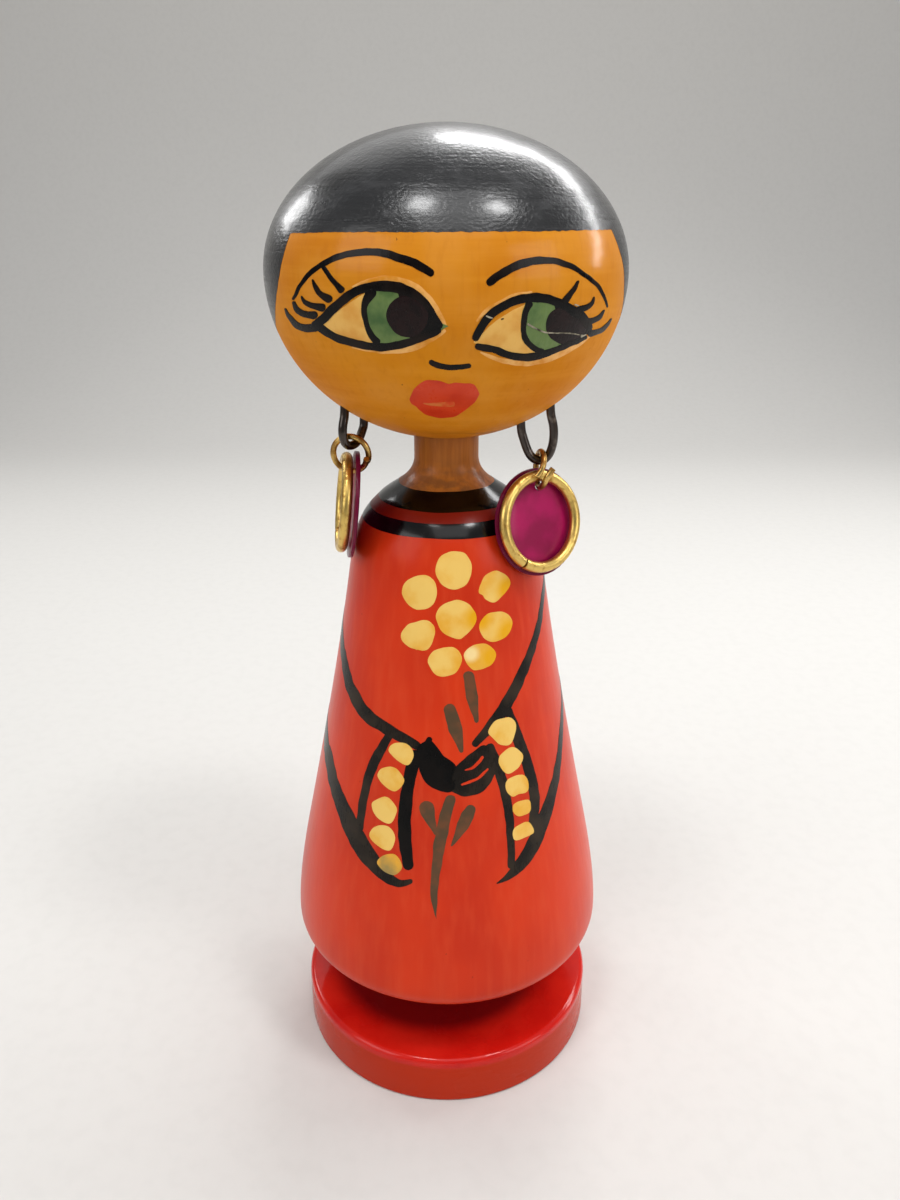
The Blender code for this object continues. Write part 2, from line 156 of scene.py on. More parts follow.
class Socket:
    """A value in a material. Arithmetic on it adds Math nodes, and node() adds any other node."""

    MIX_COLOURS = (6, 7)
    MIX_RESULT = 2

    def __init__(self, tree, socket):
        self.tree = tree
        self.socket = socket

    def node(self, kind, settings=None, inputs=None, output=0):
        made = self.tree.nodes.new(kind)
        for name, value in (settings or {}).items():
            setattr(made, name, value)
        for name, value in (inputs or {}).items():
            if isinstance(value, Socket):
                self.tree.links.new(value.socket, made.inputs[name])
            else:
                made.inputs[name].default_value = value
        return Socket(self.tree, made.outputs[output])

    def math(self, operation, first, second):
        return self.node("ShaderNodeMath", {"operation": operation}, {0: first, 1: second})

    def __add__(self, other):
        return self.math("ADD", self, other)

    def __radd__(self, other):
        return self.math("ADD", other, self)

    def __sub__(self, other):
        return self.math("SUBTRACT", self, other)

    def __rsub__(self, other):
        return self.math("SUBTRACT", other, self)

    def __mul__(self, other):
        return self.math("MULTIPLY", self, other)

    def __rmul__(self, other):
        return self.math("MULTIPLY", other, self)

    def grain(self, across, upright, detail=NOISE_DETAIL):
        """Noise from 0 to 1 whose cells have the given sizes in metres, across the doll and upright."""
        scale = (1 / across, 1 / across, 1 / upright)
        stretched = self.node("ShaderNodeMapping", {}, {"Vector": self, "Scale": scale})
        return self.node("ShaderNodeTexNoise", {}, {"Vector": stretched, "Scale": 1.0, "Detail": detail})

    def part(self, axis):
        """One coordinate of a place, by its letter."""
        return self.node("ShaderNodeSeparateXYZ", {}, {"Vector": self}, "XYZ".index(axis))

    def distance(self, spot):
        """How far a place is from a spot, in metres."""
        return self.node("ShaderNodeVectorMath", {"operation": "DISTANCE"}, {0: self, 1: spot}, 1)

    def ramp(self, low, high):
        """0 below low, 1 above high, and a smooth rise between them."""
        span = {"Value": self, "From Min": low, "From Max": high}
        return self.node("ShaderNodeMapRange", {"interpolation_type": "SMOOTHSTEP"}, span)

    def between(self, low, high):
        """The value that goes from low to high as this one goes from 0 to 1."""
        return self * (high - low) + low

    def colour(self, first, second):
        """The colour that goes from the first to the second as this value goes from 0 to 1."""
        colours = dict(zip(self.MIX_COLOURS, (first, second)))
        return self.node("ShaderNodeMix", {"data_type": "RGBA"}, {0: self, **colours}, self.MIX_RESULT)

    def bump(self, depth):
        """A surface normal from this value as a relief of the given depth in metres."""
        return self.node("ShaderNodeBump", {}, {"Height": self, "Strength": 1.0, "Distance": depth})

    def feed(self, shader, name):
        self.tree.links.new(self.socket, shader.inputs[name])


def srgb(colour):
    """A colour as it is seen, from 0 to 255, as the linear one that a shader takes."""
    return (*[(part / SCREEN_WHITE) ** SCREEN_GAMMA for part in colour], 1.0)


def new_finish(name, **even):
    """A new material, its shader with the values that are the same all over, and its Object coordinates."""
    material = bpy.data.materials.new(name)
    material.use_nodes = True
    tree = material.node_tree
    shader = tree.nodes["Principled BSDF"]
    for socket, value in even.items():
        shader.inputs[socket.replace("_", " ")].default_value = value
    return material, shader, Socket(tree, tree.nodes.new("ShaderNodeTexCoord").outputs["Object"])


def crimson_gloss():
    """Crimson paint under a gloss varnish, duller down the side, with a painted shadow where the skirt shades
    it.
    """
    material, shader, place = new_finish(
        "crimson_gloss", Coat_Roughness=0.08, Coat_IOR=1.35, Specular_IOR_Level=0.08
    )
    clouds = place.grain(*BASE_CLOUDS).ramp(*CLOUD_EDGES)
    rings = place.grain(*BASE_RINGS)
    peel = place.grain(*BASE_PEEL)
    side = 1 - place.part("Z").ramp(BASE_SIDE_LEVEL - BASE_SIDE_FADE, BASE_SIDE_LEVEL)
    # The skirt's shadow on the top, painted into the colour as a dark ring round the foot.
    painted_shadow = 1 - place.distance(PAINTED_SHADOW_MIDDLE).ramp(*PAINTED_SHADOW_RADII)
    top = clouds.colour(srgb(CRIMSON), srgb(DEEP_CRIMSON))
    top = (painted_shadow * PAINTED_SHADOW_SHARE).colour(top, srgb(BASE_PAINTED_SHADOW))
    # The side takes the darker red as painted shade.
    side.colour(top, srgb(BASE_SIDE_SHADE_RED)).feed(shader, "Base Color")
    side.between(*BASE_COAT).feed(shader, "Coat Weight")
    clouds.between(*BASE_ROUGHNESS).feed(shader, "Roughness")
    (rings * BASE_RING_SHARE + peel * BASE_PEEL_SHARE).bump(BASE_RELIEF).feed(shader, "Normal")
    return material


def bare_wood():
    """Bare wood with its fibres upright."""
    material, shader, place = new_finish("bare_wood")
    fibres = place.grain(*DOWEL_FIBRES)
    wood = fibres.ramp(*DOWEL_FIBRE_EDGES).colour(srgb(DOWEL_WOOD), srgb(DOWEL_GRAIN))
    wood.feed(shader, "Base Color")
    fibres.between(*DOWEL_ROUGHNESS).feed(shader, "Roughness")
    fibres.bump(DOWEL_RELIEF).feed(shader, "Normal")
    return material


base_outline = [(0.0, BASE_HEIGHT)]
base_outline += [(BASE_RADIUS * share, BASE_HEIGHT) for share in BASE_TOP_RINGS]
base_outline += arc(
    (BASE_RADIUS - BASE_TOP_EDGE, BASE_HEIGHT - BASE_TOP_EDGE), BASE_TOP_EDGE, BASE_TOP_EDGE, 90, 0
)
base_outline += arc(
    (BASE_RADIUS - BASE_LOWER_EDGE, BASE_LOWER_EDGE), BASE_LOWER_EDGE, BASE_LOWER_EDGE, 0, -90
)
base_outline.append((0.0, 0.0))
base = turned("turned_base", base_outline)
base.data.materials.append(crimson_gloss())
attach(base, "doll")
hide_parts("base")
frame["nodes"]["base_dowel"].data.materials.clear()
frame["nodes"]["base_dowel"].data.materials.append(bare_wood())

# The body
# One piece of wood turned as foot, flared dress, shoulders and neck, in one smooth line.
# The dress is painted red and satin varnished over a faint grain, and the neck is left as stained wood.
FOOT_RADIUS = 0.0145
FOOT_COVE = 0.003
BODY_BOTTOM = 0.0109
SKIRT_UNDERSIDE = 0.0245
HEM_RADIUS = 0.032
HEM_LEVEL = 0.0285
HEM_ROUND_WIDTH = 0.003
SKIRT_RADIUS = 0.0292
SKIRT_LEVEL = 0.0482
SKIRT_SLOPE = 0.212
SHOULDER_RADIUS = 0.0182
SHOULDER_LEVEL = 0.106
WAIST_SLOPE = 0.150
COLLAR_RADIUS = 0.0124
COLLAR_LEVEL = 0.1182
COLLAR_FLARE = 1.11
NECK_RADIUS = 0.0059
NECK_LEVEL = 0.1255
NECK_TOP = 0.1412
SIDE_PULLS = [(0.55, 0.30), (0.25, 0.53), (0.33, 0.33), (0.33, 0.25)]
CURVE_STEPS = 24
DRESS_TOP_LEVEL = 0.1193
DRESS_TOP_FADE = 0.0001
DRESS_RED = (210, 58, 24)
DRESS_DARK_RED = (192, 48, 22)
DRESS_WORN_RED = (216, 80, 46)
SCUFF = (92, 22, 18)
NECK_WOOD = (178, 107, 46)
NECK_GRAIN = (164, 97, 42)
NECK_SMUDGE = (112, 76, 50)
NECK_SMUDGE_LEVEL = 0.1275
COLLAR_RED = (128, 32, 18)
COLLAR_RED_LEVEL = 0.1153
COLLAR_RED_FADE = 0.0004
DRESS_CLOUDS = (0.02, 0.03)
DRESS_BRUSHING = (0.0016, 0.05, 4)
DRESS_SPECKS = (0.0011, 0.0016, 2)
DRESS_PEEL = (0.0018, 0.0018)
BRUSHING_EDGES = (0.42, 0.75)
BRUSHING_TINT = 0.26
SPECK_EDGES = (0.76, 0.80)
SPECK_TINT = 0.4
NECK_FIBRES = (0.0007, 0.009, 6)
NECK_FIBRE_EDGES = (0.35, 0.68)
NECK_SMUDGES = (0.003, 0.0015, 4)
SMUDGE_EDGES = (0.42, 0.62)
SMUDGE_TINT = 0.7
DRESS_ROUGHNESS = 0.26
BRUSHING_ROUGHNESS = 0.14
DRESS_CLOUD_ROUGHNESS = 0.1
NECK_ROUGHNESS = 0.14
DRESS_RELIEF = 0.00012
BRUSHING_SHARE = 0.35
NECK_FIBRE_SHARE = 0.3
DRESS_PEEL_SHARE = 0.2


def flowing(start, start_pull, end_pull, end):
    """Points of a lathe outline from start to end, leaving and arriving along the two pulls."""
    first, last = Vector(start), Vector(end)
    curve = interpolate_bezier(first, first + Vector(start_pull), last - Vector(end_pull), last, CURVE_STEPS)
    return [tuple(point) for point in curve[1:]]


def body_side():
    """The body's side from the neck down to the hem, as radius and level."""
    stations = [
        (NECK_RADIUS, NECK_LEVEL, 0),
        (COLLAR_RADIUS, COLLAR_LEVEL, COLLAR_FLARE),
        (SHOULDER_RADIUS, SHOULDER_LEVEL, WAIST_SLOPE),
        (SKIRT_RADIUS, SKIRT_LEVEL, SKIRT_SLOPE),
        (HEM_RADIUS, HEM_LEVEL, 0),
    ]
    side = [(NECK_RADIUS, NECK_LEVEL)]
    for upper, lower, shares in zip(stations, stations[1:], SIDE_PULLS):
        fall = upper[1] - lower[1]
        pulls = []
        for (_, _, slope), share in zip((upper, lower), shares):
            pulls.append((slope * (share * fall), -(share * fall)))
        side += flowing(upper[:2], *pulls, lower[:2])
    return side


def dress_satin():
    """Red paint under a satin varnish, brushed, worn and scuffed, up to the stained wood of the neck."""
    material, shader, place = new_finish(
        "dress_satin", Coat_Weight=0.4, Coat_Roughness=0.22, Coat_IOR=1.3, Specular_IOR_Level=0.08
    )
    level = place.part("Z")
    brushing = place.grain(*DRESS_BRUSHING)
    clouds = place.grain(*DRESS_CLOUDS)
    specks = place.grain(*DRESS_SPECKS).ramp(*SPECK_EDGES)
    peel = place.grain(*DRESS_PEEL)
    collar = level.ramp(COLLAR_RED_LEVEL - COLLAR_RED_FADE, COLLAR_RED_LEVEL + COLLAR_RED_FADE)
    red = clouds.ramp(*CLOUD_EDGES).colour(srgb(DRESS_RED), srgb(DRESS_DARK_RED))
    red = (brushing.ramp(*BRUSHING_EDGES) * BRUSHING_TINT).colour(red, srgb(DRESS_WORN_RED))
    red = (specks * SPECK_TINT).colour(red, srgb(SCUFF))
    red = collar.colour(red, srgb(COLLAR_RED))
    fibres = place.grain(*NECK_FIBRES).ramp(*NECK_FIBRE_EDGES)
    smudges = place.grain(*NECK_SMUDGES).ramp(*SMUDGE_EDGES)
    smudges = smudges * (1 - level.ramp(DRESS_TOP_LEVEL, NECK_SMUDGE_LEVEL))
    wood = fibres.colour(srgb(NECK_WOOD), srgb(NECK_GRAIN))
    wood = (smudges * SMUDGE_TINT).colour(wood, srgb(NECK_SMUDGE))
    neck = level.ramp(DRESS_TOP_LEVEL - DRESS_TOP_FADE, DRESS_TOP_LEVEL + DRESS_TOP_FADE)
    neck.colour(red, wood).feed(shader, "Base Color")
    roughness = brushing * BRUSHING_ROUGHNESS + clouds * DRESS_CLOUD_ROUGHNESS + neck * NECK_ROUGHNESS
    (roughness + DRESS_ROUGHNESS).feed(shader, "Roughness")
    relief = brushing * BRUSHING_SHARE + fibres * neck * NECK_FIBRE_SHARE + peel * DRESS_PEEL_SHARE
    relief.bump(DRESS_RELIEF).feed(shader, "Normal")
    return material


body_outline = [(0.0, NECK_TOP), (NECK_RADIUS, NECK_TOP)]
body_outline += body_side()
body_outline += arc(
    (HEM_RADIUS - HEM_ROUND_WIDTH, HEM_LEVEL), HEM_ROUND_WIDTH, HEM_LEVEL - SKIRT_UNDERSIDE, 0, -90
)[1:]
body_outline += arc((FOOT_RADIUS + FOOT_COVE, SKIRT_UNDERSIDE - FOOT_COVE), FOOT_COVE, FOOT_COVE, 90, 180)
body_outline += [(FOOT_RADIUS, BODY_BOTTOM), (0.0, BODY_BOTTOM)]
body = turned("turned_body", body_outline)
body.data.materials.append(dress_satin())
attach(body, "doll")
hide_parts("body")

# The collar bands
# Two bands of gloss black painted by hand round the shoulders, with a red one left showing between them.
# The upper one thins out over the stained wood of the neck, so its top edge wavers.
UPPER_BAND = (0.1207, 0.1180)
LOWER_BAND = (0.1164, 0.1142)
BAND_WAVER = 0.00012
BAND_WAVES = 2
BAND_STEPS = 192
BAND_COLUMNS = 10
SLOPE_STEP = 0.0002
PAINT_LIFT = 0.00004
PAINT_LAYER = 0.00002
PAINT_SINK = 0.00006
SECOND_COAT = PAINT_LIFT + PAINT_LAYER
THIRD_COAT = SECOND_COAT + PAINT_LAYER
EDGE_FALL = 0.000012
EDGE_POWER = 5
MILLIMETRES = 1000
GLOSS_BLACK = (8, 8, 9)
THIN_BLACK = (22, 17, 15)
ENAMEL_EDGES = (0.38, 0.7)
ENAMEL_DETAIL = 4
ENAMEL_STREAKS = (0.0005, 0.004, 4)
ENAMEL_PEEL = (0.001, 0.001)
ENAMEL_RELIEF = 0.00004
STREAK_ROUGHNESS = 0.2
ENAMEL_CLOUD_ROUGHNESS = 0.1
STREAK_SHARE = 0.5
ENAMEL_PEEL_SHARE = 0.4
EVEN_ROUGHNESS = 0.15
SPOT_HEART = 0.3


def film(rows, columns, place, lift):
    """A skin of paint: a grid laid on the wood by place(row, share across), thinner towards its edges."""
    bpy.ops.object.select_all(action="DESELECT")
    bpy.ops.mesh.primitive_grid_add(x_subdivisions=columns, y_subdivisions=rows - 1, size=1)
    skin = bpy.context.object
    for index, point in enumerate(skin.data.vertices):
        row, column = divmod(index, columns + 1)
        share = column / columns
        spot, outward = place(row, share)
        point.co = spot + outward * (lift - EDGE_FALL * abs(2 * share - 1) ** EDGE_POWER)
    middle = skin.data.polygons[len(skin.data.polygons) // 2]
    _, outward = place(rows // 2, 0.5)
    if middle.normal.dot(outward) < 0:
        skin.data.flip_normals()
    return skin


def painted(name, skins, lift, finish):
    """Skins of one colour as one piece: joined, sunk a little into the wood, and riding on the doll."""
    bpy.ops.object.select_all(action="DESELECT")
    for skin in skins:
        skin.select_set(True)
    bpy.context.view_layer.objects.active = skins[0]
    bpy.ops.object.join()
    piece = bpy.context.object
    piece.name = name
    bpy.ops.object.mode_set(mode="EDIT")
    bpy.ops.mesh.select_all(action="SELECT")
    bpy.ops.mesh.remove_doubles(threshold=MERGE)
    bpy.ops.mesh.dissolve_degenerate(threshold=MERGE)
    bpy.ops.object.mode_set(mode="OBJECT")
    body_of_paint = piece.modifiers.new("body_of_paint", "SOLIDIFY")
    body_of_paint.thickness = lift + PAINT_SINK
    body_of_paint.offset = -1
    bpy.ops.object.modifier_apply(modifier=body_of_paint.name)
    bpy.ops.object.shade_smooth_by_angle(angle=SMOOTH_ANGLE)
    piece.data.materials.append(finish)
    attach(piece, "doll")
    return piece


def enamel(name, main, second, cell, roughness, coat, spots=()):
    """Brushed enamel: its colour clouds into a second one, and others run into it at any spots."""
    material, shader, place = new_finish(
        name, Coat_Weight=coat, Coat_Roughness=0.15, Specular_IOR_Level=0.1
    )
    clouds = place.grain(cell, cell, ENAMEL_DETAIL).ramp(*ENAMEL_EDGES)
    streaks = place.grain(*ENAMEL_STREAKS)
    peel = place.grain(*ENAMEL_PEEL)
    paint = clouds.colour(srgb(main), srgb(second))
    for middle, radius, tint in spots:
        inside = 1 - place.distance(middle).ramp(radius * SPOT_HEART, radius)
        paint = inside.colour(paint, srgb(tint))
    paint.feed(shader, "Base Color")
    unevenness = streaks * STREAK_ROUGHNESS + clouds * ENAMEL_CLOUD_ROUGHNESS
    (unevenness + (roughness - EVEN_ROUGHNESS)).feed(shader, "Roughness")
    (streaks * STREAK_SHARE + peel * ENAMEL_PEEL_SHARE).bump(ENAMEL_RELIEF).feed(shader, "Normal")
    return material


def radius_at(level):
    """The body's radius at a level between the neck and the hem."""
    side = body_side()
    for upper, lower in zip(side, side[1:]):
        if lower[1] <= level <= upper[1]:
            share = (upper[1] - level) / (upper[1] - lower[1])
            return upper[0] + (lower[0] - upper[0]) * share
    return HEM_RADIUS


def on_body(degrees, level):
    """A spot on the body at an angle from the front and a level, and the way out of the wood there."""
    turn = math.radians(degrees)
    across = Vector((math.sin(turn), -math.cos(turn), 0))
    rise = radius_at(level - SLOPE_STEP) - radius_at(level + SLOPE_STEP)
    outward = (across + Vector((0, 0, rise / (2 * SLOPE_STEP)))).normalized()
    return across * radius_at(level) + Vector((0, 0, level)), outward


def collar_band(levels):
    """One band round the body between two levels, each edge wavering with the brush."""

    def place(row, share):
        degrees = 360 * (row % BAND_STEPS) / BAND_STEPS
        turn = math.radians(degrees)
        edges = []
        for level in levels:
            spot = (BAND_WAVES * math.sin(turn), BAND_WAVES * math.cos(turn), level * MILLIMETRES)
            edges.append(level + BAND_WAVER * noise.noise(spot))
        return on_body(degrees, edges[0] + (edges[1] - edges[0]) * share)

    return film(BAND_STEPS + 1, BAND_COLUMNS, place, PAINT_LIFT)


gloss_black = enamel("gloss_black", GLOSS_BLACK, THIN_BLACK, cell=0.006, roughness=0.22, coat=0.5)
painted("upper_collar_band", [collar_band(UPPER_BAND)], PAINT_LIFT, gloss_black)
painted("lower_collar_band", [collar_band(LOWER_BAND)], PAINT_LIFT, gloss_black)

# The flower
# Eight dabs of cream enamel, seven round one, and a stem and leaves in thin grey brown.
# Each dab is an outline and each stem a brushed line, in the pixels of the photograph that show them,
# and yellow and pale paint has run into the cream in round spots.
FLOWER_DABS = [
    [(453, 551.5), (465, 554), (471.5, 564), (471, 575), (465, 585), (455, 589.7), (444, 586), (437, 577),
     (435.5, 567), (441, 556)],
    [(424, 575), (433, 579.5), (437, 590), (435.5, 600), (428, 608), (417, 609.5), (407, 603.5), (401.8, 592),
     (407, 580.5)],
    [(496.5, 570.5), (506, 575), (510, 581.5), (507.5, 590), (495, 602), (486, 599.5), (483, 595),
     (478.5, 591), (485, 576)],
    [(457.5, 600), (469, 604.5), (476, 616), (473.5, 627), (464, 637), (457, 639), (443, 632.5), (435.8, 616),
     (443, 605)],
    [(424, 620), (432, 623.5), (435, 631), (430, 647), (423, 650.5), (408, 646), (401, 636), (408, 625)],
    [(498.5, 611.5), (508, 615), (512.4, 624), (506, 636.5), (494, 641.8), (484, 638), (479.3, 626),
     (486, 615)],
    [(449.5, 646.8), (459, 651), (462, 661), (456, 672.5), (444, 676.7), (434, 673.5), (428, 661),
     (434, 651)],
    [(482, 643.4), (491, 646.5), (496, 655), (490, 666), (476, 670), (467.5, 665), (463.9, 655), (470, 647)],
]
YELLOW_SPOTS = [((492, 657), 16), ((478, 618), 19), ((509, 633), 22), ((508, 589), 20)]
PALE_SPOTS = [((471, 654), 11)]
STEM_STROKES = [
    ([(468, 671), (472, 696), (477, 723)], [11, 12, 4]),
    ([(448, 704), (455, 727), (462, 753)], [12, 14, 3]),
    ([(452, 795), (445, 817), (441.5, 835), (439, 848), (436.5, 867), (434.5, 886), (434, 900), (436, 919)],
     [10, 11, 12, 12, 9.5, 8, 6.5, 0]),
    ([(424.5, 801), (429.5, 817), (434, 828.5), (435.5, 835)], [15, 14, 8, 3]),
    ([(472.5, 805), (467, 817), (461, 828.5), (456, 838.5), (451, 846.5)], [8, 12.5, 12, 7, 1]),
]
CREAM = (236, 194, 104)
CREAM_YELLOW = (228, 166, 58)
PETAL_PALE = (244, 214, 148)
PETAL_YELLOW = (228, 164, 26)
STEM_BROWN = (84, 66, 48)
STEM_THIN = (108, 70, 48)
BRUSH_STEP = 1.4
KNOT_PULL = 6
HAND_WANDER = 0.7
HAND_WAVE = 9
HAND_SEED = 1
STROKE_COLUMNS = 6
DAB_COLUMNS = 14


def surface_of(piece):
    """A piece's surface, which the lines of sight are cast on."""
    mesh = piece.data
    points = [point.co for point in mesh.vertices]
    return BVHTree.FromPolygons(points, [face.vertices for face in mesh.polygons])


def seen_spot(surface, pixel):
    """The spot on a surface that a pixel of the photograph shows, and the way out of the wood there."""
    focal = CAMERA_LENS / CAMERA_SENSOR * PHOTO_HEIGHT
    aim = Vector(((pixel[0] - PHOTO_WIDTH / 2) / focal, (PHOTO_HEIGHT / 2 - pixel[1]) / focal, -1))
    sight = (camera.matrix_world.to_3x3() @ aim).normalized()
    spot, outward, _, _ = surface.ray_cast(camera.location, sight)
    if spot is None:
        nearest = camera.location - sight * camera.location.dot(sight)
        spot, outward, _, _ = surface.find_nearest(nearest)
    return spot, outward


def seen_disc(surface, pixel, radius):
    """The middle on a surface of a round spot in the photograph, and its radius there in metres."""
    middle, _ = seen_spot(surface, pixel)
    edge, _ = seen_spot(surface, (pixel[0], pixel[1] + radius))
    return middle, (edge - middle).length


def smooth_line(points, closed=False):
    """A smooth line through given points, with a point at about every step of the brush."""
    before, after = (points[-1:], points[:2]) if closed else (points[:1], points[-1:])
    knots = [Vector(point) for point in (*before, *points, *after)]
    line = []
    for before, start, end, after in zip(knots, knots[1:], knots[2:], knots[3:]):
        count = max(2, round((end - start).length / BRUSH_STEP) + 1)
        leaving = start + (end - before) / KNOT_PULL
        arriving = end - (after - start) / KNOT_PULL
        line += interpolate_bezier(start, leaving, arriving, end, count)[:-1]
    return [*line, knots[-2]]


def wander(pixel):
    """A point of an edge, moved a little as the hand that painted it wandered."""
    shift = noise.noise_vector(Vector((pixel[0], pixel[1], 0)) / HAND_WAVE)
    return Vector((pixel[0] + shift.x * HAND_WANDER, pixel[1] + shift.y * HAND_WANDER))


def stroke(points, widths):
    """The two edges of a brush stroke with round ends, from its line and its widths along it."""
    line = smooth_line(points)
    gone = [0.0]
    for start, end in zip(line, line[1:]):
        gone.append(gone[-1] + (end - start).length)
    edges = ([], [])
    for index, here in enumerate(line):
        along = gone[index] / gone[-1] * (len(widths) - 1)
        step = min(int(along), len(widths) - 2)
        width = widths[step] + (widths[step + 1] - widths[step]) * (along - step)
        for left_over, end_width in ((gone[index], widths[0]), (gone[-1] - gone[index], widths[-1])):
            if left_over < end_width / 2:
                width *= math.sqrt(1 - (1 - 2 * left_over / end_width) ** 2)
        heading = line[min(index + 1, len(line) - 1)] - line[max(index - 1, 0)]
        aside = Vector((-heading.y, heading.x)).normalized() * width / 2
        edges[0].append(wander(here + aside))
        edges[1].append(wander(here - aside))
    return edges


def dab(outline):
    """The two edges of a dab, from the first point of its outline round to the far side on either hand."""
    line = smooth_line(outline, closed=True)
    half = (len(line) + 1) // 2
    return [[wander(point) for point in edge] for edge in (line[:half], line[::-1][:half])]


def filled(first, second):
    """The two edges of a filled shape, each a smooth line through its points, with as many points each."""
    lines = [smooth_line(first), smooth_line(second)]
    count = max(len(line) for line in lines)
    edges = []
    for line in lines:
        spread = [line[round(row * (len(line) - 1) / (count - 1))] for row in range(count)]
        edges.append([wander(point) for point in spread])
    return edges


def brushed(surface, edges, lift, columns=STROKE_COLUMNS):
    """A skin of paint between two edges in the photograph, on the surface that they are seen on."""

    def place(row, share):
        return seen_spot(surface, edges[0][row].lerp(edges[1][row], share))

    return film(len(edges[0]), columns, place, lift)


noise.seed_set(HAND_SEED)
dress = surface_of(body)
spots = [(*seen_disc(dress, *spot), PETAL_YELLOW) for spot in YELLOW_SPOTS]
spots += [(*seen_disc(dress, *spot), PETAL_PALE) for spot in PALE_SPOTS]
cream = enamel("cream_enamel", CREAM, CREAM_YELLOW, cell=0.0055, roughness=0.36, coat=0.2, spots=spots)
stem_brown = enamel("stem_brown", STEM_BROWN, STEM_THIN, cell=0.003, roughness=0.4, coat=0.15)
petals = [brushed(dress, dab(outline), PAINT_LIFT, DAB_COLUMNS) for outline in FLOWER_DABS]
painted("flower_dabs", petals, PAINT_LIFT, cream)
stems = [brushed(dress, stroke(*line), PAINT_LIFT) for line in STEM_STROKES]
painted("flower_stem_and_leaves", stems, PAINT_LIFT, stem_brown)

# The sleeves and hands
# Black enamel lines draw two wide sleeves with cuffs of cream dabs, and two hands that meet on the stem.
# The lines start thin high on the sides and swell towards the cuffs, and red is left between the fingers.
SLEEVE_STROKES = [
    ([(343, 648), (346.5, 672), (352, 690), (366, 714), (387, 729), (409, 741), (420, 748)],
     [4.4, 8, 11.5, 12.5, 10.5, 8]),
    ([(327, 744), (331, 769), (336, 789), (350, 824), (366, 853), (384, 874), (398, 883), (413, 881)],
     [6.1, 8.7, 11.3, 15, 17.6, 16.3, 11, 4]),
    ([(392, 731), (383, 746), (371, 770), (363, 802), (359, 832)], [8, 10, 9, 8, 8]),
    ([(541.5, 605), (537.5, 630), (526.5, 663), (510, 698), (492, 725), (473, 746)],
     [3.6, 6.3, 9, 11.4, 12.2, 6]),
    ([(561, 730), (559, 757), (553, 789), (540, 829), (526.5, 856), (510, 875), (496, 884)],
     [3, 5.5, 8.6, 11.9, 13.8, 12, 1]),
    ([(507, 707), (518, 738), (529, 770), (534.5, 797), (533, 829)], [8, 11, 11, 10, 9]),
    ([(488, 744), (500, 773), (508, 808), (511, 843), (511, 869)], [10, 10, 9, 8, 7]),
]
SLEEVE_TAILS = [
    ([(-62, 0.0865), (-72, 0.0894), (-82, 0.0923), (-95, 0.0954), (-110, 0.0978)], [12, 17, 16, 11, 0]),
    ([(-66, 0.0672), (-76, 0.0694), (-86, 0.0714), (-100, 0.0738), (-117, 0.0760)], [14, 21, 19, 13, 0]),
    ([(60, 0.0960), (68, 0.0992), (77, 0.1015), (88, 0.1033), (100, 0.1045)], [8, 11.5, 10.5, 7, 0]),
    ([(58, 0.0670), (66, 0.0717), (74, 0.0752), (86, 0.0790), (100, 0.0820)], [9, 12, 11, 8, 0]),
]
TAIL_DEGREE = 2.1
TAIL_METRE = 5100
DARK_CUFF_STROKE = ([(417, 750), (409, 781), (405, 813), (405, 840), (409, 870)], [13, 12, 13, 13, 10])
CUFF_DABS = [
    [(403.5, 742.7), (411, 747.5), (413.8, 756), (408.5, 765), (399, 761.5), (389, 751), (393, 744)],
    [(393, 766.8), (400, 772.5), (404.3, 781), (395.5, 791), (383, 784.5), (377.5, 775), (382, 768.5)],
    [(387, 797), (394, 804), (397, 811), (390.5, 823.6), (377, 817), (371.7, 806), (375, 800)],
    [(384, 825), (392, 830), (395.5, 839), (389, 850.4), (375, 843.5), (369.6, 835), (373.5, 827.5)],
    [(505, 717.5), (513, 719.5), (516, 728), (511, 743.5), (500, 744.3), (488.5, 733), (494, 722)],
    [(513, 747), (521.5, 752.5), (522, 760), (517, 768.5), (507, 773.3), (498.5, 764), (500.5, 754.5)],
    [(522, 774.6), (528, 781), (527.7, 791), (519.5, 794), (512, 796.3), (505.7, 789), (508, 779)],
    [(528.5, 799.7), (531, 805), (529, 812.5), (518, 816.3), (513, 811), (513.5, 804.5), (520.5, 801)],
    [(527, 821.4), (532, 826), (533.7, 832), (527, 836.7), (515.6, 840.3), (513, 833.5), (516, 827)],
]
THIN_DAB = [(393, 854), (400, 860), (402, 868), (395, 875), (385, 871.5), (377.5, 863), (382, 856)]
LEFT_HAND = (
    [(417, 747), (430, 740), (443, 755), (456, 766), (455, 780)],
    [(417, 760), (422, 777), (433, 788), (447, 792), (455, 790)],
)
RIGHT_HAND = (
    [(452, 770), (468, 756), (484, 745), (494, 757), (495, 772)],
    [(450, 790), (462, 796), (478, 794), (489, 785), (495, 774)],
)
LEFT_THUMB = ([(424, 748), (431, 737)], [6, 6])
FINGER_GAPS = [
    ([(464.5, 770.5), (473, 767), (480, 761), (483, 755.5)], [1.2, 2.6, 3.4, 3]),
    ([(461, 785), (468, 782.5), (479, 777.5), (486, 771), (488, 768)], [1.5, 3, 2.4, 3, 2]),
]
SLEEVE_BLACK = (24, 20, 16)
SLEEVE_THIN = (50, 41, 32)
HAND_BLACK = (6, 5, 5)
THIN_CREAM = (150, 130, 78)


def tail(points, widths):
    """A brush stroke round the side of the dress, where the photograph cannot show it, by angle and level."""
    edges = stroke([(degrees * TAIL_DEGREE, level * TAIL_METRE) for degrees, level in points], widths)

    def place(row, share):
        point = edges[0][row].lerp(edges[1][row], share)
        return on_body(point.x / TAIL_DEGREE, point.y / TAIL_METRE)

    return film(len(edges[0]), STROKE_COLUMNS, place, PAINT_LIFT)


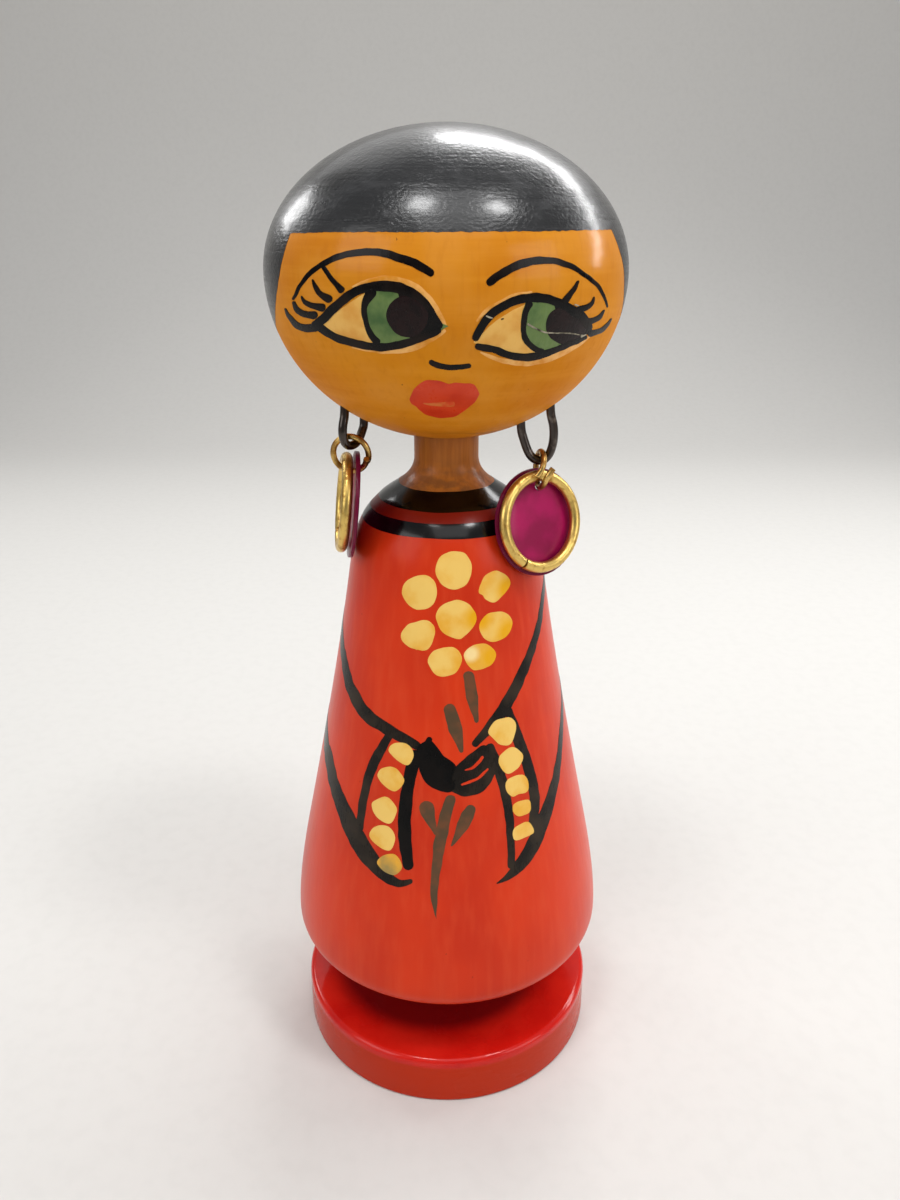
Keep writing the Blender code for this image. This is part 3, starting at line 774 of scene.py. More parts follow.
sleeve_black = enamel("sleeve_black", SLEEVE_BLACK, SLEEVE_THIN, cell=0.006, roughness=0.3, coat=0.15)
hand_black = enamel("hand_black", HAND_BLACK, THIN_BLACK, cell=0.006, roughness=0.32, coat=0.08)
finger_red = enamel("finger_red", DRESS_RED, DRESS_DARK_RED, cell=0.004, roughness=0.36, coat=0.2)
thin_cream = enamel("thin_cream", THIN_CREAM, CREAM_YELLOW, cell=0.005, roughness=0.36, coat=0.2)
lines = [brushed(dress, stroke(*line), PAINT_LIFT) for line in SLEEVE_STROKES]
lines += [tail(*line) for line in SLEEVE_TAILS]
painted("sleeve_lines", lines, PAINT_LIFT, sleeve_black)
right_hand = brushed(dress, filled(*RIGHT_HAND), SECOND_COAT, DAB_COLUMNS)
painted("right_hand", [right_hand], SECOND_COAT, sleeve_black)
left_hand = [brushed(dress, filled(*LEFT_HAND), SECOND_COAT, DAB_COLUMNS)]
left_hand += [brushed(dress, stroke(*line), SECOND_COAT) for line in (LEFT_THUMB, DARK_CUFF_STROKE)]
painted("left_hand", left_hand, SECOND_COAT, hand_black)
gaps = [brushed(dress, stroke(*line), THIRD_COAT) for line in FINGER_GAPS]
painted("finger_gaps", gaps, THIRD_COAT, finger_red)
cuffs = [brushed(dress, dab(outline), THIRD_COAT, DAB_COLUMNS) for outline in CUFF_DABS]
painted("cuff_dabs", cuffs, THIRD_COAT, cream)
painted("thin_cuff_dab", [brushed(dress, dab(THIN_DAB), THIRD_COAT, DAB_COLUMNS)], THIRD_COAT, thin_cream)

# The head
# A flattened ball turned from the same wood, glued on the neck, stained tan and satin varnished.
# Its grain runs upright, and its tan is darker low on the cheeks and towards the underside.
HEAD_RADIUS = 0.0308
HEAD_CROWN = 0.0230
HEAD_CHIN = 0.0279
HEAD_EQUATOR = 0.157029
HEAD_UNDERSIDE = 0.1297
HEAD_STEPS = 40
SKIN_TAN = (208, 131, 32)
SKIN_DEEP = (190, 106, 18)
SKIN_GRAIN = (184, 106, 30)
SKIN_PALE = (222, 148, 48)
SKIN_FADED = (212, 140, 58)
SKIN_UNDER = (150, 84, 20)
SKIN_SCUFF = (96, 52, 26)
LOW_CHEEK_LEVELS = (HEAD_UNDERSIDE + 0.001, HEAD_EQUATOR - 0.014)
UNDER_LEVELS = (HEAD_UNDERSIDE, HEAD_UNDERSIDE + 0.0045)
UNDER_EDGES = (0.0, 0.5)
GLOSS_LEVELS = (HEAD_EQUATOR - 0.010, HEAD_EQUATOR + 0.004)
SKIN_CLOUDS = (0.016, 0.012)
SKIN_CLOUD_EDGES = (0.35, 0.72)
SKIN_CLOUD_TINT = 0.5
LOW_CHEEK_TINT = 0.4
SKIN_RINGS = (0.02, 0.0013, 4)
SKIN_RING_TINT = 0.35
SKIN_FADING = (0.009, 0.012, 5)
SKIN_FADING_EDGES = (0.46, 0.72)
SKIN_FADING_TINT = 0.5
SKIN_FIBRES = (0.0009, 0.011, 5)
SKIN_FIBRE_EDGES = (0.48, 0.8)
SKIN_FIBRE_TINT = 0.3
SKIN_SPECKS = (0.0009, 0.0014, 2)
SKIN_SPECK_EDGES = (0.77, 0.80)
SKIN_SPECK_TINT = 0.7
SKIN_COAT = (0.02, 0.68)
SKIN_ROUGHNESS = (0.5, 0.3)
SKIN_CLOUD_ROUGHNESS = 0.12
SKIN_FIBRE_ROUGHNESS = 0.08
SKIN_PEEL = (0.0015, 0.0015)
SKIN_RELIEF = 0.00007
SKIN_FIBRE_SHARE = 0.2
SKIN_PEEL_SHARE = 0.4


def tan_varnish():
    """Stained wood under a varnish that shines on the brow and crown and is worn dull low on the cheeks."""
    material, shader, place = new_finish(
        "tan_varnish", Coat_Roughness=0.16, Coat_IOR=1.3, Specular_IOR_Level=0.03
    )
    level = place.part("Z")
    clouds = place.grain(*SKIN_CLOUDS)
    rings = place.grain(*SKIN_RINGS).ramp(*BRUSHING_EDGES)
    fading = place.grain(*SKIN_FADING).ramp(*SKIN_FADING_EDGES)
    fibres = place.grain(*SKIN_FIBRES).ramp(*SKIN_FIBRE_EDGES)
    specks = place.grain(*SKIN_SPECKS).ramp(*SKIN_SPECK_EDGES)
    peel = place.grain(*SKIN_PEEL)
    # Darker low on the cheeks, and darker still towards the underside.
    low = 1 - level.ramp(*LOW_CHEEK_LEVELS)
    under = 1 - level.ramp(*UNDER_LEVELS)
    glossy = level.ramp(*GLOSS_LEVELS)
    deep = clouds.ramp(*SKIN_CLOUD_EDGES) * SKIN_CLOUD_TINT + low * LOW_CHEEK_TINT
    skin = deep.colour(srgb(SKIN_TAN), srgb(SKIN_DEEP))
    skin = (rings * SKIN_RING_TINT).colour(skin, srgb(SKIN_PALE))
    skin = (fading * SKIN_FADING_TINT).colour(skin, srgb(SKIN_FADED))
    skin = (fibres * SKIN_FIBRE_TINT).colour(skin, srgb(SKIN_GRAIN))
    skin = (under * rings.ramp(*UNDER_EDGES)).colour(skin, srgb(SKIN_UNDER))
    (specks * SKIN_SPECK_TINT).colour(skin, srgb(SKIN_SCUFF)).feed(shader, "Base Color")
    glossy.between(*SKIN_COAT).feed(shader, "Coat Weight")
    unevenness = clouds * SKIN_CLOUD_ROUGHNESS + fibres * SKIN_FIBRE_ROUGHNESS
    (unevenness + glossy.between(*SKIN_ROUGHNESS)).feed(shader, "Roughness")
    (fibres * SKIN_FIBRE_SHARE + peel * SKIN_PEEL_SHARE).bump(SKIN_RELIEF).feed(shader, "Normal")
    return material


chin_end = -math.degrees(math.acos(NECK_RADIUS / HEAD_RADIUS))
head_outline = arc((0.0, HEAD_EQUATOR), HEAD_RADIUS, HEAD_CROWN, 90, 0, HEAD_STEPS)
head_outline[0] = (0.0, HEAD_EQUATOR + HEAD_CROWN)
head_outline += arc((0.0, HEAD_EQUATOR), HEAD_RADIUS, HEAD_CHIN, 0, chin_end, HEAD_STEPS)[1:]
head_outline.append((0.0, head_outline[-1][1]))
head = turned("turned_head", head_outline)
head.data.materials.append(tan_varnish())
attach(head, "doll")
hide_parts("head")

# The hair
# A cap of gloss black painted straight across the brow, with side edges that sweep back behind the cheeks.
# The brush went round the head on the lathe, so the gloss is streaked and rubbed in rings.
HAIR_CORNER_LEFT = (-52.5, 0.1635)
HAIR_CORNER_RIGHT = (60.7, 0.1640)
HAIR_BROW = [(-28, 0.1637), (1, 0.16375), (30.4, 0.16385)]
HAIR_LEFT_SIDE = [(-54.9, 0.1595), (-60, 0.1547), (-71, 0.1496), (-92, 0.1455), (-130, 0.1425)]
HAIR_RIGHT_SIDE = [(63.6, 0.1610), (66, 0.1590), (71, 0.1540), (80, 0.1496), (97, 0.1457), (132, 0.1425)]
HAIR_NAPE = 0.1415
HAIR_COLUMNS = 48
HAIR_STEP = 0.4
HAIR_WAVER = 0.00013
HAIR_WAVES_PER_DEGREE = 0.7
HAIR_WAVES_PER_METRE = 900
HAIR_BLACK = (14, 14, 16)
HAIR_RUBBED = (46, 46, 48)
HAIR_RINGS = (0.03, 0.0005, 5)
HAIR_RUBBING = (0.004, 0.0018, 6)
HAIR_RUBBING_EDGES = (0.52, 0.75)
HAIR_RUBBING_TINT = 0.5
HAIR_PITS = (0.0007, 0.0005)
HAIR_ROUGHNESS = 0.2
HAIR_RING_ROUGHNESS = 0.2
HAIR_RUBBING_ROUGHNESS = 0.12
HAIR_RELIEF = 0.00014
HAIR_RING_SHARE = 0.35
HAIR_PIT_SHARE = 0.6


def hair_edge():
    """The edge of the hair right round the head, as degrees from the front and level."""
    half_left = [(-180, HAIR_NAPE), *HAIR_LEFT_SIDE[::-1], HAIR_CORNER_LEFT]
    brow = [HAIR_CORNER_LEFT, *HAIR_BROW, HAIR_CORNER_RIGHT]
    half_right = [HAIR_CORNER_RIGHT, *HAIR_RIGHT_SIDE, (180, HAIR_NAPE)]
    edge = []
    for run in (half_left, brow, half_right):
        scaled = [(degrees / HAIR_STEP, level * MILLIMETRES / HAIR_STEP) for degrees, level in run]
        edge += smooth_line(scaled)
    return [(point.x * HAIR_STEP, point.y * HAIR_STEP / MILLIMETRES) for point in edge]


def on_head(degrees, height):
    """A spot on the head at an angle from the front and one above its widest ring, both in degrees."""
    turn, rise = math.radians(degrees), math.radians(height)
    half = HEAD_CROWN if height > 0 else HEAD_CHIN
    across = Vector((math.sin(turn), -math.cos(turn), 0))
    spot = across * HEAD_RADIUS * math.cos(rise) + Vector((0, 0, HEAD_EQUATOR + half * math.sin(rise)))
    outward = across * math.cos(rise) / HEAD_RADIUS + Vector((0, 0, math.sin(rise) / half))
    return spot, outward.normalized()


def hair_gloss():
    """Gloss black brushed on in rings, pitted, and rubbed grey in patches."""
    material, shader, place = new_finish("hair_gloss", Coat_Weight=0.5, Coat_Roughness=0.16)
    rings = place.grain(*HAIR_RINGS)
    rubbing = place.grain(*HAIR_RUBBING).ramp(*HAIR_RUBBING_EDGES)
    pits = place.grain(*HAIR_PITS)
    black = (rubbing * HAIR_RUBBING_TINT).colour(srgb(HAIR_BLACK), srgb(HAIR_RUBBED))
    black.feed(shader, "Base Color")
    unevenness = rings * HAIR_RING_ROUGHNESS + rubbing * HAIR_RUBBING_ROUGHNESS
    (unevenness + HAIR_ROUGHNESS).feed(shader, "Roughness")
    (rings * HAIR_RING_SHARE + pits * HAIR_PIT_SHARE).bump(HAIR_RELIEF).feed(shader, "Normal")
    return material


edge_of_hair = hair_edge()


def hair_place(row, share):
    """A spot of the hair and the way out of the wood there, from its edge up to the crown."""
    degrees, level = edge_of_hair[row]
    wave = Vector((degrees * HAIR_WAVES_PER_DEGREE, level * HAIR_WAVES_PER_METRE, 0))
    level += HAIR_WAVER * noise.noise(wave)
    half = HEAD_CROWN if level > HEAD_EQUATOR else HEAD_CHIN
    lowest = math.degrees(math.asin((level - HEAD_EQUATOR) / half))
    return on_head(degrees, lowest + (90 - lowest) * share)


hair = film(len(edge_of_hair), HAIR_COLUMNS, hair_place, PAINT_LIFT)
painted("painted_hair", [hair], PAINT_LIFT, hair_gloss())

# The eyes
# Big eyes that look to the right: cream whites, green rings, brown black pupils and bold black lids.
# A paler edge of bare varnish shows beside the lids, and the lashes are single flicks of a fine brush.
EYE_WHITES = [
    ([(319, 326), (342, 308), (368, 291)], [(319, 327), (347, 339), (380, 345)]),
    ([(474, 341), (500, 318), (531, 301)], [(474, 343), (506, 353), (540, 354)]),
]
EYE_GREENS = [
    ([(369, 285), (362, 314), (376, 346)], [(404, 285), (406, 314), (412, 345)]),
    ([(527, 298), (521, 325), (537, 355)], [(560, 300), (560, 325), (568, 347)]),
    ([(439.5, 322.5), (448.5, 326)], [(439.5, 331), (448.5, 326.5)]),
]
EYE_DARKS = [
    ([(396, 285), (414, 290), (430, 303), (442, 326)], [(411, 342), (420, 339), (432, 333), (442, 328)]),
    ([(553, 300), (566, 304), (580, 315), (592, 330)], [(563, 347), (571, 343), (582, 338), (592, 331)]),
]
EYE_ARCS = [
    ([(374, 289), (370, 295), (365.7, 302.7), (364.5, 312.4), (367, 324.5), (371.8, 335.4), (379.5, 344)],
     [12, 9, 6, 5.5, 5.5, 6, 7]),
    ([(530.5, 301), (525, 313.5), (523.5, 325), (524, 335.5), (528, 343), (536, 349), (544.5, 352)],
     [8, 5.5, 5.5, 5.5, 6, 6, 5]),
]
PUPILS = [
    [(407, 295), (421, 300.5), (428.5, 315), (423, 330), (408, 337), (393.5, 331), (386.5, 316),
     (392.5, 301)],
    [(566, 305.5), (580, 311), (586.5, 325), (580.5, 338.5), (566, 344.5), (551.5, 339), (545.6, 327),
     (551, 312)],
]
LID_STROKES = [
    ([(312, 327), (321, 321), (333, 309), (347, 297), (358, 290.5), (371, 287), (386, 286), (401, 288.5),
      (416, 295), (427, 305), (435.5, 318), (442, 327)], [8, 9, 9, 9, 9, 9, 11, 11, 9, 7, 6, 4]),
    ([(316, 324), (330, 334), (347, 341), (379, 347), (406, 343), (427, 336), (441, 329)],
     [8, 7.5, 7.5, 8, 8, 7.5, 5]),
    ([(474, 341), (480, 329), (489, 316.5), (500, 308), (515, 300.5), (532, 297.5), (548, 299), (560, 303.5),
      (572.5, 310), (583, 318), (590, 330)], [7, 8, 8.5, 8.5, 8.5, 9, 9, 9, 9, 9, 7]),
    ([(475, 346), (483.6, 347.5), (494.5, 349.6), (504, 353.2), (515, 356.4), (527, 357), (540.6, 355),
      (553, 350.4), (566, 345.3), (579, 339.8), (587, 336.5)], [6, 7, 7, 7, 7.6, 7.6, 7, 6.4, 6, 5, 3]),
]
LASH_STROKES = [
    ([(323, 266), (331, 278), (338, 286), (344, 292)], [4, 4.5, 5, 8]),
    ([(312.4, 279), (315, 286), (321, 294), (332, 301)], [1.6, 5, 6.5, 9]),
    ([(301, 295.4), (305, 301.5), (312.4, 305.4), (326, 308)], [1.6, 5, 6.5, 9]),
    ([(293.6, 301), (297.3, 309.4), (304, 313.8), (318, 315.5)], [3, 6, 6.5, 9]),
    ([(285, 308), (289.4, 316), (296.7, 324.5), (306.4, 328), (319, 327)], [1.6, 4.5, 6.5, 8, 9]),
    ([(578.4, 280.6), (572.5, 290.6), (563.5, 303)], [2.4, 5, 8]),
    ([(594, 296.4), (592, 302.7), (585.4, 307.5), (576, 311)], [1.4, 4, 6, 8]),
    ([(604.2, 309.6), (600, 316), (592.7, 320.4), (582, 323)], [1.6, 4.5, 6, 9]),
    ([(611.6, 318), (607.2, 324.5), (600, 330.6), (587, 334.5)], [1.2, 4, 5.5, 7]),
    ([(500.5, 319.2), (504, 318.2)], [1.2, 1.6]),
]
BROW_STROKES = [
    ([(433.6, 274.8), (415.4, 263.6), (397, 257.2), (385, 253.4), (373, 251.8), (354.8, 253), (338, 256.8),
      (322, 264.6), (308.8, 274.8), (300.3, 285.7), (293, 300)],
     [7.5, 8.8, 8.4, 8.2, 7.2, 7, 6.5, 6, 5, 4, 2.6]),
    ([(486.6, 284.5), (498, 276), (512.7, 267.6), (527.2, 262.2), (543, 260.3), (558.7, 262), (573.3, 267.6),
      (585.4, 275.4), (596.3, 284.5), (603.6, 295.4), (607.2, 308)],
     [8, 8.8, 8.4, 8.2, 7.6, 6.5, 5.5, 5, 4.3, 3.6, 2]),
]
LID_LIGHTS = [
    ([(352, 287), (368, 281), (386, 278), (402, 281), (417, 288), (430, 301), (439, 314), (446, 327)],
     [2, 4, 5, 6, 7, 7, 6, 3]),
    ([(446, 330), (432, 339), (413, 348), (384, 351), (352, 347)], [3, 6, 6, 5, 2]),
    ([(476, 322), (486, 311), (500, 303), (516, 295), (532, 292)], [2, 4, 5, 4, 2]),
    ([(480, 352), (497, 359), (521, 363), (548, 359), (574, 347), (590, 336)], [2, 5, 6, 6, 5, 2]),
]
EYE_SCRATCHES = [
    ([(527, 323.5), (535.5, 328), (546.5, 332.5), (566, 333), (583, 335.5)], [1.8, 1.6, 1.2, 1.2, 1]),
    ([(485.5, 315.5), (489, 317), (493, 318)], [1.4, 1.8, 1.2]),
    ([(574, 304), (579, 306)], [1.6, 1]),
    ([(580, 337), (586, 334.5)], [1.6, 1]),
]
EYE_CREAM = (230, 178, 92)
EYE_CREAM_WORN = (216, 152, 66)
IRIS_GREEN = (100, 122, 70)
IRIS_DEEP_GREEN = (66, 94, 52)
PUPIL_BROWN = (34, 20, 20)
PUPIL_BLACK = (18, 12, 12)
LINE_BLACK = (8, 7, 9)
LINE_THIN = (30, 22, 18)
LID_PALE = (234, 174, 98)
SCRATCH_PALE = (168, 160, 138)
FACE_LAYERS = 6

face = surface_of(head)
layers = [PAINT_LIFT + PAINT_LAYER * count for count in range(FACE_LAYERS)]
eye_cream = enamel("eye_cream", EYE_CREAM, EYE_CREAM_WORN, cell=0.004, roughness=0.34, coat=0.3)
iris_green = enamel("iris_green", IRIS_GREEN, IRIS_DEEP_GREEN, cell=0.0035, roughness=0.32, coat=0.3)
pupil_brown = enamel("pupil_brown", PUPIL_BROWN, PUPIL_BLACK, cell=0.003, roughness=0.28, coat=0.15)
line_black = enamel("line_black", LINE_BLACK, LINE_THIN, cell=0.004, roughness=0.3, coat=0.12)
lid_pale = enamel("lid_pale", LID_PALE, SKIN_TAN, cell=0.003, roughness=0.34, coat=0.3)
scratch_pale = enamel("scratch_pale", SCRATCH_PALE, LINE_THIN, cell=0.0016, roughness=0.4, coat=0.0)


def on_face(name, edges, layer, finish, columns=STROKE_COLUMNS):
    """Shapes of one colour on the face, in the layer that they were painted in."""
    skins = [brushed(face, pair, layers[layer], columns) for pair in edges]
    return painted(name, skins, layers[layer], finish)


on_face("lid_lights", [stroke(*line) for line in LID_LIGHTS], 0, lid_pale)
on_face("eye_whites", [filled(*shape) for shape in EYE_WHITES], 0, eye_cream, DAB_COLUMNS)
on_face("eye_greens", [filled(*shape) for shape in EYE_GREENS], 1, iris_green, DAB_COLUMNS)
on_face("eye_darks", [filled(*shape) for shape in EYE_DARKS], 2, line_black, DAB_COLUMNS)
on_face("pupils", [dab(outline) for outline in PUPILS], 3, pupil_brown, DAB_COLUMNS)
on_face("eye_lines", [stroke(*line) for line in EYE_ARCS + LID_STROKES], 4, line_black)
on_face("lashes", [stroke(*line) for line in LASH_STROKES], 3, line_black)
on_face("brows", [stroke(*line) for line in BROW_STROKES], 1, line_black)
on_face("eye_scratches", [stroke(*line) for line in EYE_SCRATCHES], 5, scratch_pale)

# The nose and mouth
# One short black stroke for the nose, and full lips in coral with a lighter sweep across them.
# All three are enamel, brushed straight on the varnished wood like the eyes.
NOSE_STROKE = ([(429.4, 360.6), (433, 363.6), (441, 366.2), (451, 367.4), (460, 367), (471.5, 365.4)],
               [4.6, 5.8, 5.4, 5.2, 5, 4.6])
LIPS = (
    [(409.8, 399), (413.5, 390), (420, 383.7), (427, 380.2), (435, 380), (443, 381.9), (449, 383.7),
     (456, 383), (465, 383), (474, 385), (479.3, 393)],
    [(410, 400), (411.5, 403.5), (416, 406), (420, 410.5), (428, 415), (438, 417.8), (447.5, 417.8),
     (456.5, 415.9), (463.5, 411.3), (470, 406), (476, 400.5), (479.4, 394)],
)
LIP_LIGHT = ([(423, 403), (434, 404), (446, 404.2), (455, 403.4)], [1, 3, 4.8, 4.4])
CORAL = (206, 64, 34)
DEEP_CORAL = (192, 52, 26)
LIP_PALE = (206, 112, 58)

coral = enamel("coral_lips", CORAL, DEEP_CORAL, cell=0.004, roughness=0.34, coat=0.25)
lip_pale = enamel("lip_pale", LIP_PALE, CORAL, cell=0.002, roughness=0.34, coat=0.25)
on_face("nose_line", [stroke(*NOSE_STROKE)], 0, line_black)
on_face("lips", [filled(*LIPS)], 0, coral, DAB_COLUMNS)
on_face("lip_light", [stroke(*LIP_LIGHT)], 1, lip_pale)

# The ear staples
# A bent piece of blackened iron wire under each side of the head, both legs pushed up into the wood.
# Each is the frame's own wire, made finer: its facets are subdivided round, and its cut ends stay sharp.
STAPLE_RADIUS = 0.0008
SUBDIVISION_LOSS = 0.08
RIM_ANGLE = math.radians(60)
RIM_CREASE = 0.85
FINENESS = 2
IRON = (58, 48, 42)
IRON_WORN = (112, 98, 86)
WEAR_DETAIL = 5
WEAR_ROUGHNESS = 0.22
WEAR_SHARE = 0.4
WIRE_PITS = (0.00035, 0.00035, 4)
PIT_ROUGHNESS = 0.12
PIT_SHARE = 0.6
WIRE_RELIEF = 0.00006
SIDES = ("left", "right")


def finer(node, name, swell):
    """A frame piece with its facets subdivided, after a swell that makes up for what that takes off."""
    piece = frame["nodes"][node].copy()
    piece.data = piece.data.copy()
    piece.name = name
    piece.parent = None
    for key in list(piece.keys()):
        del piece[key]
    bpy.context.scene.collection.objects.link(piece)
    bpy.ops.object.select_all(action="DESELECT")
    piece.select_set(True)
    bpy.context.view_layer.objects.active = piece
    bpy.ops.object.mode_set(mode="EDIT")
    bpy.ops.mesh.select_all(action="SELECT")
    bpy.ops.mesh.customdata_custom_splitnormals_clear()
    bpy.ops.mesh.remove_doubles(threshold=MERGE)
    bpy.ops.mesh.tris_convert_to_quads()
    bpy.ops.mesh.select_mode(type="EDGE")
    bpy.ops.mesh.select_all(action="DESELECT")
    bpy.ops.mesh.edges_select_sharp(sharpness=RIM_ANGLE)
    bpy.ops.transform.edge_crease(value=RIM_CREASE)
    bpy.ops.object.mode_set(mode="OBJECT")
    if swell:
        swelling = piece.modifiers.new("swelling", "DISPLACE")
        swelling.strength = swell
        swelling.mid_level = 0
        bpy.ops.object.modifier_apply(modifier=swelling.name)
    rounding = piece.modifiers.new("rounding", "SUBSURF")
    rounding.levels = FINENESS
    rounding.render_levels = FINENESS
    bpy.ops.object.modifier_apply(modifier=rounding.name)
    bpy.ops.object.shade_smooth_by_angle(angle=SMOOTH_ANGLE)
    piece.data.materials.clear()
    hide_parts(node)
    return piece


def metal(name, bright, worn, cell, wear, smooth, coat):
    """Drawn wire: bright metal with duller worn patches, pitted all over, lacquered if it has a coat."""
    material, shader, place = new_finish(name, Metallic=1.0, Coat_Weight=coat, Coat_Roughness=0.08)
    patches = place.grain(cell, cell, WEAR_DETAIL).ramp(*wear)
    pits = place.grain(*WIRE_PITS)
    patches.colour(srgb(bright), srgb(worn)).feed(shader, "Base Color")
    (patches * WEAR_ROUGHNESS + pits * PIT_ROUGHNESS + smooth).feed(shader, "Roughness")
    (patches * WEAR_SHARE + pits * PIT_SHARE).bump(WIRE_RELIEF).feed(shader, "Normal")
    return material


blackened_iron = metal(
    "blackened_iron", IRON, IRON_WORN, cell=0.0022, wear=(0.55, 0.75), smooth=0.26, coat=0.8
)
for side in SIDES:
    staple = finer(f"{side}_ear_staple", f"{side}_iron_staple", STAPLE_RADIUS * SUBDIVISION_LOSS)
    staple.data.materials.append(blackened_iron)
    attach(staple, "doll")

# The jump rings
# Rings of thin brass wire that hang in the staples, and carry a hoop and a disc each.
# They are closed by hand, with their cut ends sprung past each other.
RING_WIRE_RADIUS = 0.00055
BRASS = (208, 172, 102)
BRASS_WORN = (144, 104, 54)

brass_wire = metal("brass_wire", BRASS, BRASS_WORN, cell=0.002, wear=(0.42, 0.68), smooth=0.2, coat=0.0)
for side in SIDES:
    ring = finer(f"{side}_jump_ring", f"{side}_brass_ring", RING_WIRE_RADIUS * SUBDIVISION_LOSS)
    ring.data.materials.append(brass_wire)
    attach(ring, f"{side}_link")

# The hoops
# Thick gilt wire bent round with its ends butted in a fine seam, the gilding worn to brown in places.
# Each hangs loose on its jump ring, in front of the disc.
HOOP_WIRE_RADIUS = 0.001
GILT = (220, 186, 106)
GILT_WORN = (160, 114, 50)

gilt_wire = metal("gilt_wire", GILT, GILT_WORN, cell=0.0012, wear=(0.48, 0.78), smooth=0.26, coat=0.0)
for side in SIDES:
    hoop = finer(f"{side}_hoop", f"{side}_gilt_hoop", HOOP_WIRE_RADIUS * SUBDIVISION_LOSS)
    hoop.data.materials.append(gilt_wire)
    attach(hoop, f"{side}_hoop_body")

# The discs
# Thin discs of clouded magenta plastic, punched near the edge.
# They hang behind the hoops on the same jump rings, and their holes lean along the wire.
DISC_RADIUS = 0.0096
DISC_BRIGHT_SHARE = 0.60
DISC_DARK_SHARE = 0.90
MAGENTA = (172, 26, 88)
DEEP_MAGENTA = (138, 18, 68)
# A dark maroon is painted round each disc's rim as shade.
RIM_SHADE_MAROON = (92, 14, 46)
RIM_SHADE_TINT = 0.85
DISC_CLOUDS = (0.006, 0.006, 4)
DISC_SCRATCHES = (0.0004, 0.005, 4)
DISC_ROUGHNESS = (0.22, 0.42)
DISC_RELIEF = 0.00002
SCRATCH_SHARE = 0.5
DISC_CLOUD_SHARE = 0.3
HOLE_SHARE = 0.9
HOLE_DRAW = 0.0003
HOLE_EDGE = 0.00125
HOLE_REACH = 0.0020
WIRE_REACH = 0.0016


def centre_of(spots):
    return sum(spots, Vector()) / len(spots)


def fitted_hole(disc, punched, middle, ring):
    """Lean a disc's hole along the wire that slopes through it, and draw it in round the wire."""
    flat = max(punched.polygons, key=lambda face: face.area)
    outward = flat.normal * math.copysign(1, -flat.normal.y)
    hole = centre_of(
        [point.co for point in punched.vertices if (point.co - middle).length < DISC_RADIUS * HOLE_SHARE]
    )
    wire = [point.co - hole for point in ring.data.vertices if (point.co - hole).length < WIRE_REACH]
    front = centre_of([spot for spot in wire if spot.dot(outward) > 0])
    back = centre_of([spot for spot in wire if spot.dot(outward) <= 0])
    along = (front - back) / (front - back).dot(outward)
    crossing = front - along * front.dot(outward)
    for point in disc.data.vertices:
        offset = point.co - hole
        depth = offset.dot(outward)
        aside = offset - outward * depth
        share = min(1, (HOLE_REACH - aside.length) / (HOLE_REACH - HOLE_EDGE))
        if share > 0:
            shift = crossing + (along - outward) * depth - aside.normalized() * HOLE_DRAW
            point.co += shift * share


def magenta_plastic(name, middle):
    """Clouded plastic, darkened by a painted shade from the middle of its disc out to the rim."""
    material, shader, place = new_finish(
        name, Coat_Weight=0.12, Coat_Roughness=0.12, Specular_IOR_Level=0.2
    )
    clouds = place.grain(*DISC_CLOUDS).ramp(*CLOUD_EDGES)
    scratches = place.grain(*DISC_SCRATCHES)
    # Painted shade: the colour darkens from the middle of the disc out to its rim.
    rim = place.distance(middle).ramp(DISC_RADIUS * DISC_BRIGHT_SHARE, DISC_RADIUS * DISC_DARK_SHARE)
    pink = clouds.colour(srgb(MAGENTA), srgb(DEEP_MAGENTA))
    (rim * RIM_SHADE_TINT).colour(pink, srgb(RIM_SHADE_MAROON)).feed(shader, "Base Color")
    scratches.between(*DISC_ROUGHNESS).feed(shader, "Roughness")
    (scratches * SCRATCH_SHARE + clouds * DISC_CLOUD_SHARE).bump(DISC_RELIEF).feed(shader, "Normal")
    return material


for side in SIDES:
    disc = finer(f"{side}_disc", f"{side}_magenta_disc", 0.0)
    lowest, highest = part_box(f"{side}_disc")
    middle = (Vector(lowest) + Vector(highest)) / 2
    ring = bpy.data.objects[f"{side}_brass_ring"]
    fitted_hole(disc, frame["nodes"][f"{side}_disc"].data, middle, ring)
    disc.data.materials.append(magenta_plastic(f"{side}_magenta", middle))
    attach(disc, f"{side}_disc_body")

# The floor and the lights
# A plain pale sweep that curves up behind the doll, with soft lamps in front and a row of small ones behind.
# The row follows the long highlight that the photograph shows round the right of the hair.
FLOOR_HALF_WIDTH = 1.6
FLOOR_FRONT = -1.2
FLOOR_BACK = 0.55
FLOOR_CURVE = 0.35
FLOOR_CURVE_STEPS = 16
FLOOR_TOP = 1.8
FLOOR_PALE = (208, 206, 202)
FLOOR_MOTTLE = (206, 204, 200)
FLOOR_GRAIN = (0.004, 0.004)
FLOOR_GRAIN_EDGES = (0.4, 0.7)
SOFT_LAMPS = [
    ("right_lamp", (0.35, -0.27, 0.90), 0.14, 1.75),
    ("left_lamp", (-0.16, -0.29, 0.90), 0.15, 1.5),
    ("front_lamp", (0.06, -0.42, 0.88), 0.60, 1.45),
    ("fill_lamp", (-0.60, -0.45, 0.45), 0.45, 1.65),
    ("right_fill", (0.62, -0.42, 0.35), 0.40, 1.4),
    ("sheen_lamp", (-0.13, 0.40, 0.58), 0.34, 0.25),
]
STRIP_LAMPS = [
    ((0.02, 0.42, 0.59), 0.09), ((0.06, 0.40, 0.61), 0.11), ((0.13, 0.40, 0.59), 0.11),
    ((0.20, 0.41, 0.55), 0.09), ((0.28, 0.40, 0.52), 0.085), ((0.35, 0.35, 0.51), 0.09),
    ((0.43, 0.30, 0.47), 0.09), ((0.49, 0.25, 0.42), 0.085), ((0.54, 0.20, 0.36), 0.085),
    ((0.58, 0.17, 0.30), 0.085), ((0.60, 0.13, 0.24), 0.075),
]
STRIP_POWER = 32
